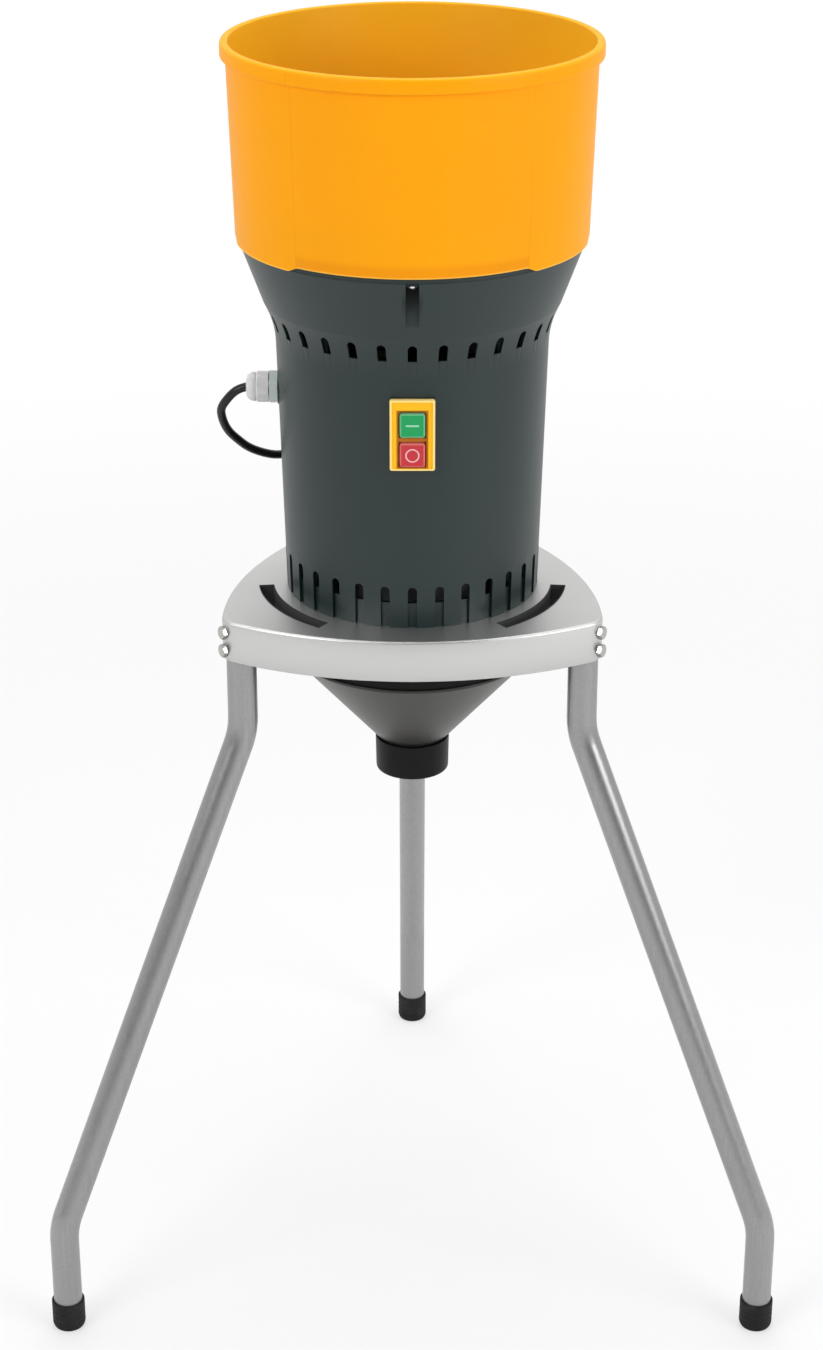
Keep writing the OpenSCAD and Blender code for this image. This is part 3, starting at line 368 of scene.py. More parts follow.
@dataclass(frozen=True)
class Moulded(Finish):
    """Injection-moulded plastic: a fine eroded grain, faint flow marks and slightly worn gloss."""

    grain: float = 0.9
    depth: float = 0.012
    mottle: float = 0.05
    gloss: float = 0.5

    def paint(self, graph: Graph) -> Sockets:
        """Sockets of the plastic, whose grain is self.grain millimetres wide.

        Args:
            graph: the material's node tree.

        Returns:
            A value or a link for each socket.
        """
        cloud = graph.noise(scale=9.0, detail=3.0)
        flow = graph.noise(scale=26.0, detail=2.0, stretch=(1, 1, 0.25))
        grain = graph.noise(scale=1 / (self.grain * MM), detail=1.0)
        tone = cloud * 0.6 + flow * 0.4
        colour = graph.tones(tone, self.code, 1 - self.mottle, 1 + self.mottle)
        return {
            "Base Color": colour,
            "Roughness": flow * 0.08 + (self.roughness - 0.04),
            "Normal": graph.bump(grain, self.depth * MM),
            "Specular IOR Level": self.gloss,
        }


@dataclass(frozen=True)
class HopperPlastic(Moulded):
    """Translucent orange plastic with painted shade where the collar stands behind it, a duller
    colour painted inside as shade and a painted highlight along its lower edge.

    A pair of numbers is where the soft edge of a mask starts and ends: a height or a radius in
    millimetres, or a value of the wave with a crest at each screw. The kink is the slope between
    the two heights of the edge, which gets the same painted shade. A share is how much of a mask's
    colour shows.
    """

    # Painted shade where the collar stands behind the translucent wall.
    shade_band: str = "e98b06"
    # Duller colour painted inside the tub as shade.
    inside: str = "e0a81e"
    # Painted highlight along the lower edge.
    edge: str = "ffc452"
    band_top: tuple[float, float] = (951.0, 958.0)
    edge_low: float = 941.3
    edge_lift: float = 3.9
    edge_top: tuple[float, float] = (0.8, 1.8)
    outer_r: tuple[float, float] = (140.2, 140.8)
    bore_r: tuple[float, float] = (112.6, 113.2)
    bore_slope: float = 0.0306
    section_wave: tuple[float, float] = (-0.47, -0.43)
    kink_rise: tuple[float, float] = (0.02, 0.5)
    kink_fall: tuple[float, float] = (0.5, 0.98)
    # Shares of the painted shade over the screws, the painted highlight on the edge and the painted
    # shade on the slopes.
    shade_band_share: float = 0.5
    highlight_share: float = 0.6
    kink_shade_share: float = 0.35

    def paint(self, graph: Graph) -> Sockets:
        """Sockets: painted shade by the screws and inside, and a painted highlight on the edge.

        Args:
            graph: the material's node tree.

        Returns:
            A value or a link for each socket.
        """
        sockets = super().paint(graph)
        off, z = graph.off_axis(), graph.axes()[2]
        section = graph.wave(len(SCREW_ANGLES)).between(*self.section_wave)
        low = 1 - z.between_mm(*self.band_top)
        outside = off.between_mm(*self.outer_r)
        inner = 1 - (off - z * self.bore_slope).between_mm(*self.bore_r)
        over_edge = z - (section * self.edge_lift + self.edge_low) * MM
        # Painted highlight on the outside along the lower edge.
        edge = (1 - over_edge.between_mm(*self.edge_top)) * outside * self.highlight_share
        # Painted shade over each screw, spreading onto the slopes of the lifted edge.
        slope = section.between(*self.kink_rise) * (1 - section.between(*self.kink_fall))
        kink = slope * self.kink_shade_share * outside
        mask = section * low * outside * self.shade_band_share + kink
        colour = graph.blend(mask, sockets["Base Color"], srgb(self.shade_band))
        # Duller colour painted inside the tub as shade.
        colour = graph.blend(inner, colour, srgb(self.inside))
        sockets["Base Color"] = graph.blend(edge, colour, srgb(self.edge))
        sockets["Subsurface Weight"] = 0.12
        sockets["Subsurface Radius"] = (0.02, 0.008, 0.002)
        sockets["Subsurface Scale"] = 0.25
        return sockets


@dataclass(frozen=True)
class VentedPlastic(Moulded):
    """Slate plastic of the housing, with painted shade in a shallow groove under each vent.

    A pair of numbers is the soft edge of a mask, in millimetres or as a value of the wave with a
    crest at each vent or screw. A share is how much of a mask shows, and a tone is a factor on
    the colour.
    """

    vents: int = 30
    sill: float = 870.5
    mark: float = 15.0
    mark_wave: tuple[float, float] = (0.45, 0.62)
    # Strength and tone of the painted shade in the groove under each vent.
    mark_shade_share: float = 0.7
    mark_shade_tone: float = 0.45
    mark_depth: float = 0.5
    core_wave: tuple[float, float] = (0.7, 0.9)
    core_share: float = 0.8
    channel: tuple[float, float] = (902.0, 938.0)
    channel_r: tuple[float, float] = (133.5, 138.5)
    channel_wave: tuple[float, float] = (0.978, 0.992)
    # Strength and tone of the painted shade in the screw channels.
    channel_shade_share: float = 0.96
    channel_shade_tone: float = 0.02

    def paint(self, graph: Graph) -> Sockets:
        """Sockets: painted shade under the upper vents, and in channels that darken upwards.

        Args:
            graph: the material's node tree.

        Returns:
            A value or a link for each socket.
        """
        sockets = super().paint(graph)
        z = graph.axes()[2]
        # Painted shade in a groove under each upper vent, whose relief is the bump below.
        across = graph.wave(self.vents)
        core = across.between(*self.core_wave) * self.core_share
        column = across.between(*self.mark_wave) * (1 - core)
        fade = z.between_mm(self.sill - self.mark, self.sill) * (z < self.sill * MM)
        dark = column * fade * self.mark_shade_share
        colour = graph.blend(dark, sockets["Base Color"], shaded(self.code, self.mark_shade_tone))
        # Painted shade in the screw channels, darker upwards under the hopper.
        near = graph.wave(len(SCREW_ANGLES)).between(*self.channel_wave)
        deep = 1 - graph.off_axis().between_mm(*self.channel_r)
        shade = near * deep * z.between_mm(*self.channel) * self.channel_shade_share
        sockets["Base Color"] = graph.blend(shade, colour, shaded(self.code, self.channel_shade_tone))
        sockets["Roughness"] = sockets["Roughness"] + shade * 0.5
        sockets["Normal"] = graph.bump(1 - dark, self.mark_depth * MM, sockets["Normal"])
        return sockets


@dataclass(frozen=True)
class RimmedPlastic(Moulded):
    """Plastic of a switch part, with a painted highlight along its rounded rim and painted shade
    at its core.
    """

    half: tuple[float, float] = (10.2, 10.1)
    middle: float = 818.4
    rim: float = 1.0
    # Colour of the painted highlight along the rim.
    rim_highlight_code: str = "ffffff"
    core: tuple[float, float] = (0.0, 0.0)
    core_middle: float = 0.0
    # Colour of the painted shade at the core.
    core_code: str = "000000"

    def paint(self, graph: Graph) -> Sockets:
        """Sockets of the plastic, with the rim and the core as rectangles seen from the front.

        Args:
            graph: the material's node tree.

        Returns:
            A value or a link for each socket.
        """
        sockets = super().paint(graph)
        field = graph.inside_box([side - self.rim for side in self.half], self.middle, 0.8)
        core = graph.inside_box(self.core, self.core_middle, 1.4)
        # Painted shade in the core: the deep well about the buttons and the bar between them.
        colour = graph.blend(core, sockets["Base Color"], srgb(self.core_code))
        # Painted highlight on the rim, outside the field.
        sockets["Base Color"] = graph.blend(field, srgb(self.rim_highlight_code), colour)
        return sockets


@dataclass(frozen=True)
class BrushedSheet(Finish):
    """Satin stainless sheet, brushed along x."""

    lines: float = 2400.0

    def paint(self, graph: Graph) -> Sockets:
        """Sockets of the sheet: fine lines along x, and broad handling marks.

        Args:
            graph: the material's node tree.

        Returns:
            A value or a link for each socket.
        """
        lines = graph.noise(scale=self.lines, detail=2.0, stretch=(0.012, 1, 1))
        broad = graph.noise(scale=7.0, detail=3.0)
        colour = graph.tones(lines * 0.5 + broad * 0.5, self.code, 0.93, 1.05)
        return {
            "Base Color": colour,
            "Metallic": 1.0,
            "Roughness": broad * 0.1 + lines * 0.06 + (self.roughness - 0.08),
            "Normal": graph.bump(lines, 0.006 * MM),
        }


@dataclass(frozen=True)
class DrawnTube(Finish):
    """Satin tube of the legs: streaks along the tube, fine flecks and orange peel."""

    metallic: float = 0.9

    def paint(self, graph: Graph) -> Sockets:
        """Sockets of the tube, whose streaks run mostly up and down.

        Args:
            graph: the material's node tree.

        Returns:
            A value or a link for each socket.
        """
        streak = graph.noise(scale=420.0, detail=2.0, stretch=(1, 1, 0.03))
        cloud = graph.noise(scale=16.0, detail=3.0)
        fleck = graph.noise(scale=520.0, detail=2.0)
        tone = streak * 0.4 + cloud * 0.2 + fleck * 0.4
        return {
            "Base Color": graph.tones(tone, self.code, 0.72, 1.24),
            "Metallic": self.metallic,
            "Roughness": streak * 0.08 + cloud * 0.06 + (self.roughness - 0.07),
            "Normal": graph.bump(graph.noise(scale=900.0, detail=1.0), 0.006 * MM),
        }


@dataclass(frozen=True)
class PaintedMetal(Finish):
    """Enamelled sheet or casting: soft orange peel under a satin gloss."""

    metallic: float = 0.0
    peel: float = 2.5
    depth: float = 0.03
    gloss: float = 0.5

    def paint(self, graph: Graph) -> Sockets:
        """Sockets of the enamel, whose peel is self.peel millimetres wide.

        Args:
            graph: the material's node tree.

        Returns:
            A value or a link for each socket.
        """
        cloud = graph.noise(scale=12.0, detail=4.0)
        peel = graph.noise(scale=1 / (self.peel * MM), detail=1.0)
        return {
            "Base Color": graph.tones(cloud, self.code, 0.88, 1.12),
            "Metallic": self.metallic,
            "Roughness": cloud * 0.1 + (self.roughness - 0.05),
            "Normal": graph.bump(peel, self.depth * MM),
            "Specular IOR Level": self.gloss,
        }


@dataclass(frozen=True)
class PlatedSteel(Finish):
    """Zinc or nickel plate: bright, with small crystal patches."""

    patch: float = 1.2

    def paint(self, graph: Graph) -> Sockets:
        """Sockets of the plate, whose patches are self.patch millimetres wide.

        Args:
            graph: the material's node tree.

        Returns:
            A value or a link for each socket.
        """
        inputs = {"Vector": graph.place(), "Scale": 1 / (self.patch * MM)}
        patch = graph.node("TexVoronoi", None, inputs)
        cloud = graph.noise(scale=90.0, detail=2.0)
        return {
            "Base Color": graph.tones(cloud, self.code, 0.9, 1.06),
            "Metallic": 1.0,
            "Roughness": patch * 0.12 + cloud * 0.1 + (self.roughness - 0.1),
            "Normal": graph.bump(patch, 0.01 * MM),
        }


@dataclass(frozen=True)
class CastMetal(Finish):
    """Sand-cast or rough-machined metal: pits and a mottled skin."""

    pit: float = 1.6
    metallic: float = 1.0

    def paint(self, graph: Graph) -> Sockets:
        """Sockets of the casting, whose pits are self.pit millimetres wide.

        Args:
            graph: the material's node tree.

        Returns:
            A value or a link for each socket.
        """
        pits = graph.noise(scale=1 / (self.pit * MM), detail=4.0)
        cloud = graph.noise(scale=30.0, detail=3.0)
        return {
            "Base Color": graph.tones(pits * 0.5 + cloud * 0.5, self.code, 0.78, 1.1),
            "Metallic": self.metallic,
            "Roughness": pits * 0.2 + (self.roughness - 0.1),
            "Normal": graph.bump(pits, 0.12 * MM),
        }


@dataclass(frozen=True)
class Layered(Finish):
    """Metal with fine level lines: stacked laminations, turned steel or wound wire."""

    pitch: float = 0.6
    depth: float = 0.05
    metallic: float = 1.0
    contrast: float = 0.25

    def paint(self, graph: Graph) -> Sockets:
        """Sockets of the metal, with one line for each self.pitch millimetres of height.

        Args:
            graph: the material's node tree.

        Returns:
            A value or a link for each socket.
        """
        lines = (graph.axes()[2] * (math.tau / (self.pitch * MM))).cos() * 0.5 + 0.5
        cloud = graph.noise(scale=60.0, detail=3.0)
        tone = lines * 0.6 + cloud * 0.4
        return {
            "Base Color": graph.tones(tone, self.code, 1 - self.contrast, 1 + self.contrast),
            "Metallic": self.metallic,
            "Roughness": cloud * 0.15 + (self.roughness - 0.07),
            "Normal": graph.bump(lines, self.depth * MM),
        }


@dataclass(frozen=True)
class Rubber(Finish):
    """Rubber or soft PVC: matt, with a fine skin and a little dust."""

    grain: float = 0.5
    dust: float = 0.25
    dust_code: str = "55534f"

    def paint(self, graph: Graph) -> Sockets:
        """Sockets of the rubber, whose skin is self.grain millimetres wide.

        Args:
            graph: the material's node tree.

        Returns:
            A value or a link for each socket.
        """
        skin = graph.noise(scale=1 / (self.grain * MM), detail=2.0)
        cloud = graph.noise(scale=45.0, detail=4.0)
        dusty = cloud.between(0.45, 0.8) * self.dust
        return {
            "Base Color": graph.blend(dusty, srgb(self.code), srgb(self.dust_code)),
            "Roughness": cloud * 0.14 + (self.roughness - 0.07),
            "Normal": graph.bump(skin, 0.02 * MM),
            "Specular IOR Level": 0.3,
        }


HOPPER = HopperPlastic("hopper_orange", "fba304", 0.42, gloss=0.12)
SLATE = VentedPlastic(
    "housing_slate", "152726", 0.38, grain=1.1, depth=0.02, mottle=0.06, gloss=0.5,
)
SLATE_PLAIN = Moulded("duct_slate", "293434", 0.5, gloss=0.3)
# The plate's pale rim is a painted highlight and its brown core is painted shade in the well.
SWITCH_YELLOW = RimmedPlastic(
    "switch_yellow", "fdbc10", 0.36, grain=0.7, mottle=0.03, gloss=0.3,
    half=(18.0, 29.5), middle=810.4, rim=1.7, rim_highlight_code="ffe08a",
    core=(12.6, 24.2), core_middle=807.0, core_code="b56a0c",
)
SYMBOL_GREEN = Moulded("symbol_pale_green", "a3d8bb", 0.4, grain=0.5, mottle=0.03)
SYMBOL_PINK = Moulded("symbol_pale_pink", "ecb0b2", 0.4, grain=0.5, mottle=0.03)
# The pale rim of each button is a painted highlight on its rolled edge.
START_GREEN = RimmedPlastic(
    "start_green", "1a9c58", 0.34, grain=0.7, mottle=0.05, gloss=0.3,
    middle=818.4, rim=1.3, rim_highlight_code="6fb98c",
)
STOP_RED = RimmedPlastic(
    "stop_red", "c2343c", 0.34, grain=0.7, mottle=0.05, gloss=0.3,
    middle=793.6, rim=1.3, rim_highlight_code="d9706c",
)
BLACK_PLASTIC = Moulded("black_plastic", "1d1d1f", 0.42, mottle=0.12)
GLAND_GREY = Moulded("gland_grey", "c2ccc8", 0.4, grain=0.6, mottle=0.03)
NUT_GREY = Moulded("gland_nut_grey", "d6d6d5", 0.38, grain=0.6, mottle=0.03)
SEAL = Rubber("seal_rubber", "262626", 0.75)
EDGING = Rubber("edging_rubber", "3c3c3c", 0.7, dust=0.1)
CORD = Rubber("cord_pvc", "1c1c1c", 0.3, grain=0.35, dust=0.06)
PIN_METAL = PlatedSteel("pin_nickel", "d8cfb4", 0.22, patch=0.8)
ZINC = PlatedSteel("bright_zinc", "bcbcb8", 0.24)
NICKEL = PlatedSteel("bright_nickel", "f4f4f0", 0.34)
SPRING = Layered("spring_steel", "9a9a98", 0.3, pitch=0.3, depth=0.01, contrast=0.1)
IRON = Layered("core_laminations", "5c5c5f", 0.5, pitch=0.5, contrast=0.3)
COPPER = Layered("winding_copper", "b06a34", 0.35, pitch=0.9, depth=0.3, contrast=0.3)
SHAFT_STEEL = Layered("turned_steel", "b8b8ba", 0.24, pitch=0.25, depth=0.008, contrast=0.08)
CAST = CastMetal("cast_alloy", "a6a8ac", 0.5)
DARK_STEEL = CastMetal("dark_steel", "6a6a6c", 0.42, pit=0.8)
CAN = BrushedSheet("capacitor_can", "c4c6c9", 0.35)
SHEET = BrushedSheet("stand_sheet", "d2d2d1", 0.44)
LEG = DrawnTube("leg_tube", "a0a0a0", 0.33)
BLACK_METAL = PaintedMetal("black_enamel", "0b0b0b", 0.4, gloss=0.16)
FUNNEL = PaintedMetal("funnel_enamel", "2f2e2b", 0.34, metallic=0.3)
COLLAR = PaintedMetal("collar_black", "0b0b0c", 0.42, peel=4.0, gloss=0.18)
CAP = Rubber("cap_rubber", "121212", 0.66, dust=0.2)


# ---------------------------------------------------------------- surfaces

Faces = list[np.ndarray]


@dataclass
class Surface:
    """Points in millimetres and the faces between them, as arrays of indices."""

    points: np.ndarray
    faces: Faces

    def __add__(self, other: Surface) -> Surface:
        """Both surfaces as one."""
        faces = self.faces + [block + len(self.points) for block in other.faces]
        return Surface(np.vstack([self.points, other.points]), faces)

    def face_lists(self) -> list[list[int]]:
        """All faces as plain lists of indices."""
        return [face for block in self.faces for face in block.tolist()]

    def moved(self, offset: Sequence[float]) -> Surface:
        """The surface moved by an offset."""
        return Surface(self.points + np.asarray(offset, float), self.faces)

    def turned(self, degrees: float) -> Surface:
        """The surface turned about the upright axis.

        Args:
            degrees: the turn, positive from +x to +y.

        Returns:
            The turned surface.
        """
        a = math.radians(degrees)
        turn = np.array([[math.cos(a), math.sin(a), 0], [-math.sin(a), math.cos(a), 0], [0, 0, 1]])
        return Surface(self.points @ turn, self.faces)

    def aimed(
        self, origin: Sequence[float], axis: Sequence[float], up: Sequence[float] = (0, 0, 1)
    ) -> Surface:
        """The surface with its own z laid along an axis.

        Args:
            origin: where its own origin goes.
            axis: direction of its own z.
            up: direction that its own y leans towards.

        Returns:
            The placed surface.
        """
        z = np.asarray(axis, float) / np.linalg.norm(axis)
        x = np.cross(np.asarray(up, float), z)
        x /= np.linalg.norm(x)
        frame = np.array([x, np.cross(z, x), z])
        return Surface(self.points @ frame + np.asarray(origin, float), self.faces)

    def piece(
        self,
        name: str,
        level: Level,
        finish: Finish,
        slot: str,
        body: str | None = "mill",
        sharp: float = 38.0,
    ) -> bpy.types.Object:
        """Makes the surface a mesh object on a body.

        Args:
            name: the object's name.
            level: height that the points are measured from.
            finish: its finish.
            slot: the record's material slot; not used.
            body: the body that it moves with, or None for a piece on no body.
            sharp: edges over this angle in degrees stay sharp.

        Returns:
            The object, whose place is in its mesh.
        """
        mesh = bpy.data.meshes.new(name)
        placed = (self.points + np.array([0.0, MILL_Y, level.value])) * MM
        mesh.from_pydata(placed.tolist(), [], self.face_lists())
        work = bmesh.new()
        work.from_mesh(mesh)
        bmesh.ops.remove_doubles(work, verts=work.verts, dist=1e-7)
        bmesh.ops.recalc_face_normals(work, faces=work.faces)
        work.to_mesh(mesh)
        work.free()
        mesh.polygons.foreach_set("use_smooth", np.ones(len(mesh.polygons), bool))
        mesh.set_sharp_from_angle(angle=math.radians(sharp))
        mesh.materials.append(finish.material())
        made = linked(name, mesh)
        if body is not None:
            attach(made, body)
        return made


def linked(name: str, data: bpy.types.ID) -> bpy.types.Object:
    """New object of the scene, with its data.

    Args:
        name: the object's name.
        data: its mesh, camera or light.

    Returns:
        The object.
    """
    made = bpy.data.objects.new(name, data)
    bpy.context.scene.collection.objects.link(made)
    return made


def grid(points: np.ndarray, close_v: bool = False, caps: bool = False) -> Surface:
    """Surface through a grid of points.

    Each cell between neighbours in u and v is one face. A closed direction, as u always is, joins
    its last line to its first. Caps close both ends in v with a fan about their middle.

    Args:
        points: array of (u, v, 3).
        close_v: whether the v direction is closed.
        caps: whether the two ends in v are closed.

    Returns:
        The surface.
    """
    nu, nv = points.shape[:2]
    index = np.arange(nu * nv).reshape(nu, nv)
    index = np.vstack([index, index[:1]])
    index = np.hstack([index, index[:, :1]]) if close_v else index
    corners = [index[:-1, :-1], index[1:, :-1], index[1:, 1:], index[:-1, 1:]]
    quads = np.stack(corners, -1).reshape(-1, 4)
    flat, faces = points.reshape(-1, 3), [quads]
    if caps:
        middle = points[:, [0, -1]].mean(axis=0)
        for end, centre in zip((0, -1), (nu * nv, nu * nv + 1)):
            rim = index[:, end]
            faces.append(np.stack([rim[:-1], rim[1:], np.full(len(rim) - 1, centre)], -1))
        flat = np.vstack([flat, middle])
    return Surface(flat, faces)


def circle(steps: int) -> np.ndarray:
    """Angles of a full turn in radians, without the last one."""
    return np.arange(steps) * math.tau / steps


def wrapped(a: np.ndarray) -> np.ndarray:
    """Angles in radians brought between -pi and pi by whole turns."""
    return np.mod(a + math.pi, math.tau) - math.pi


def smooth_step(x: np.ndarray, start: float, end: float) -> np.ndarray:
    """Step 3f^2 - 2f^3 at the part f of the way from start to end, held at 0 and at 1 outside."""
    f = np.clip((x - start) / (end - start), 0.0, 1.0)
    return f * f * (3 - 2 * f)


def polar(r: np.ndarray, z: np.ndarray, a: np.ndarray) -> np.ndarray:
    """Points (r cos a, r sin a, z) about the upright axis.

    Args:
        r: the radii, one row for all angles or a row for each.
        z: the heights, in the same way.
        a: the angles in radians.

    Returns:
        Array of (angle, row, 3).
    """
    turn = a[:, None]
    return np.stack(np.broadcast_arrays(r * np.cos(turn), r * np.sin(turn), z), -1)


def revolve(profile: np.ndarray, steps: int, closed: bool = True) -> Surface:
    """Surface of a profile that is turned about the upright axis.

    A point (r, z) of the profile becomes (r cos a, r sin a, z) at each angle a.

    Args:
        profile: array of (r, z).
        steps: angles in a full turn.
        closed: whether the profile is a loop. An open one is capped at both ends.

    Returns:
        The surface.
    """
    points = polar(profile[:, 0], profile[:, 1], circle(steps))
    return grid(points, close_v=closed, caps=not closed)


def soften(
    corners: Sequence[Sequence[float]],
    reach: float | Sequence[float],
    steps: int = 4,
    closed: bool = True,
) -> np.ndarray:
    """Polyline whose corners are rounded.

    A corner c becomes the parabola (1-t)^2 a + 2t(1-t) c + t^2 b, where a and b lie `reach` before
    and after it, and never past the middle of a side.

    Args:
        corners: the corners in order.
        reach: how far each curve goes along its sides, one value or one for each corner.
        steps: points on each curve, less one.
        closed: whether the last corner joins the first. The ends of an open line stay.

    Returns:
        The points of the rounded line.
    """
    c = np.asarray(corners, float)
    back, ahead = np.roll(c, 1, 0) - c, np.roll(c, -1, 0) - c
    lengths = [np.linalg.norm(side, axis=1, keepdims=True) for side in (back, ahead)]
    wide = np.broadcast_to(np.asarray(reach, float).reshape(-1, 1), (len(c), 1))
    a = c + back / lengths[0] * np.minimum(wide, lengths[0] * 0.48)
    b = c + ahead / lengths[1] * np.minimum(wide, lengths[1] * 0.48)
    if not closed:
        a[0], b[0], a[-1], b[-1] = c[0], c[0], c[-1], c[-1]
    t = np.linspace(0, 1, steps + 1)[None, :, None]
    line = (1 - t) ** 2 * a[:, None] + 2 * t * (1 - t) * c[:, None] + t**2 * b[:, None]
    line = line.reshape(-1, c.shape[1])
    before = line[-1:] if closed else line[:1] - 1
    gap = np.linalg.norm(np.diff(line, axis=0, prepend=before), axis=1)
    return line[gap > 1e-6]


def rounded_box(
    half: Sequence[float], radius: float, centre: Sequence[float] = (0, 0), steps: int = 6
) -> np.ndarray:
    """Outline of a rectangle with round corners, whose points match between sizes.

    Args:
        half: half the width and half the height.
        radius: radius of the corners.
        centre: middle of the rectangle.
        steps: parts of each corner's quarter turn.

    Returns:
        Array of (x, y).
    """
    a = np.linspace(0, math.pi / 2, steps + 1)
    quarter = np.concatenate([a + i * math.pi / 2 for i in range(4)])
    signs = np.repeat([[1, 1], [-1, 1], [-1, -1], [1, -1]], steps + 1, axis=0)
    inner = np.asarray(half, float) - radius
    round_part = radius * np.stack([np.cos(quarter), np.sin(quarter)], -1)
    return np.asarray(centre, float) + signs * inner + round_part


def loft(rings: Sequence[np.ndarray], heights: Sequence[float], closed: bool = False) -> Surface:
    """Surface through flat outlines at given heights, as a loop or with both ends capped."""
    rows = [np.column_stack([ring, np.full(len(ring), z)]) for ring, z in zip(rings, heights)]
    return grid(np.stack(rows, 1), close_v=closed, caps=not closed)


def smooth_line(points: np.ndarray, steps: int = 4) -> np.ndarray:
    """Curve through all points.

    Between two points it is the Catmull-Rom cubic, whose slope at a point is half the step from
    its neighbour before to its neighbour after.

    Args:
        points: array of (n, 3).
        steps: parts of each stretch.

    Returns:
        The denser line.
    """
    p = np.vstack([points[:1], points, points[-1:]])
    a, b, c, d = (p[i : len(p) - 3 + i, None] for i in range(4))
    t = np.linspace(0, 1, steps, endpoint=False)[None, :, None]
    square, cube = 2 * a - 5 * b + 4 * c - d, 3 * b - a - 3 * c + d
    curve = 0.5 * (2 * b + (c - a) * t + square * t**2 + cube * t**3)
    return np.vstack([curve.reshape(-1, 3), points[-1:]])


def pipe(line: np.ndarray, radius: float | np.ndarray, sides: int = 20) -> Surface:
    """Round tube along a line, closed at both ends.

    Each ring lies square to the line. Its first direction is the one before it with the part
    along the line taken away, so the tube doesn't twist.

    Args:
        line: array of (n, 3).
        radius: radius of the tube, one value or one for each point.
        sides: points on each ring.

    Returns:
        The surface.
    """
    along = np.gradient(line, axis=0)
    along /= np.linalg.norm(along, axis=1, keepdims=True)
    across = np.empty_like(along)
    side = np.cross(along[0], [0.0, 0.0, 1.0])
    side = side if np.linalg.norm(side) > 0.1 else np.cross(along[0], [0.0, 1.0, 0.0])
    for i, direction in enumerate(along):
        side = side - direction * (side @ direction)
        side /= np.linalg.norm(side)
        across[i] = side
    lift = np.cross(along, across)
    a = circle(sides)[:, None, None]
    reach = np.broadcast_to(np.asarray(radius, float), len(line))[None, :, None]
    return grid(line[None] + reach * (np.cos(a) * across[None] + np.sin(a) * lift[None]), caps=True)


def hexagon_radius(a: np.ndarray, flats: float) -> np.ndarray:
    """Distance from the middle of a hexagon to its side at each angle, with a corner at 0."""
    sector = np.mod(a, math.pi / 3) - math.pi / 6
    return flats / 2 / np.cos(sector)


def hex_head(flats: float, height: float, shank_r: float, shank: float, crown: float) -> Surface:
    """Hexagon head and its shank about the upright axis.

    The head's radius at an angle is the lesser of the hexagon's and a cone's, so its corners are
    cut as on a turned bolt. Its under side is at z 0 and the shank points down.

    Args:
        flats: width across the flats.
        height: height of the head.
        shank_r: radius of the shank.
        shank: length of the shank.
        crown: height of the cut at the corners.

    Returns:
        The surface.
    """
    a = circle(72)
    wall = hexagon_radius(a, flats)
    cone = np.array([0.5, 0.9, 1.0, 1.075, 1.2, 1.2]) * flats / 2
    drops = np.array([0.0, 0.0, 0.12, crown * 0.45, crown])
    z = np.concatenate([height - drops, [0.0, 0.0, -shank]])
    head = np.minimum(wall[:, None], cone[None])
    r = np.hstack([head, np.full((len(a), 2), shank_r)])
    return grid(polar(r, z, a), caps=True)


def gathered(parts: Iterable[Surface]) -> Surface:
    """Several surfaces as one.

    Args:
        parts: the surfaces, one or more.

    Returns:
        The joined surface.
    """
    first, *rest = parts
    for part in rest:
        first = first + part
    return first


def cut_grid(points: np.ndarray, a: np.ndarray, cuts: Sequence[tuple[int, int, float]]) -> Surface:
    """Closed shell of a grid with openings through both of its skins.

    The cells of an opening are left out of the upper and the lower skin, and its four sides join
    the two. An opening is repeated at each leg's angle.

    Args:
        points: array of (angle, row, 3) whose rows make one loop.
        a: the angles in radians.
        cuts: each opening's first upper row, first lower row and half angle in degrees.

    Returns:
        The surface.
    """
    nu, nv = points.shape[:2]
    index = np.arange(nu * nv).reshape(nu, nv)
    ahead = np.roll(index, -1, 0)
    cells = np.stack([index, ahead, np.roll(ahead, -1, 1), np.roll(index, -1, 1)], -1)
    keep = np.ones((nu, nv), bool)
    sides = []
    for top, low, half in cuts:
        for middle in LEG_ANGLES:
            off = np.degrees(wrapped(a - math.radians(middle)))
            inside = np.flatnonzero((off > -half - 0.01) & (off < half - 0.01))
            inside = inside[np.argsort(off[inside])]
            keep[inside, top], keep[inside, low] = False, False
            after = np.mod(inside + 1, nu)
            for upper, lower in ((top, low + 1), (top + 1, low)):
                sides.append(np.stack([index[inside, upper], index[after, upper],
                                       index[after, lower], index[inside, lower]], -1))
            for end in (inside[0], after[-1]):
                sides.append(index[end, [top, top + 1, low, low + 1]][None])
    return Surface(points.reshape(-1, 3), [cells[keep], *sides])


# ---------------------------------------------------------------- sub-assemblies


@dataclass
class Assembly:
    """Pieces that are made and dressed together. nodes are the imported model's, by name.

    A size's name ends in what it measures: r a radius, d a diameter, t a thickness, h a height,
    l a length, at or an axis a place, half half of a width or of an angle in degrees, and rows
    two radii.
    """

    nodes: dict[str, bpy.types.Object]

    def dress(self, finishes: dict[str, Finish]) -> None:
        """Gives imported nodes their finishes.

        Args:
            finishes: the finish of each node.
        """
        for node, finish in finishes.items():
            for slot in self.nodes[node].material_slots:
                slot.material = finish.material()

    def build(self) -> list[bpy.types.Object]:
        """Makes the pieces.

        Returns:
            The new pieces.
        """
        raise NotImplementedError


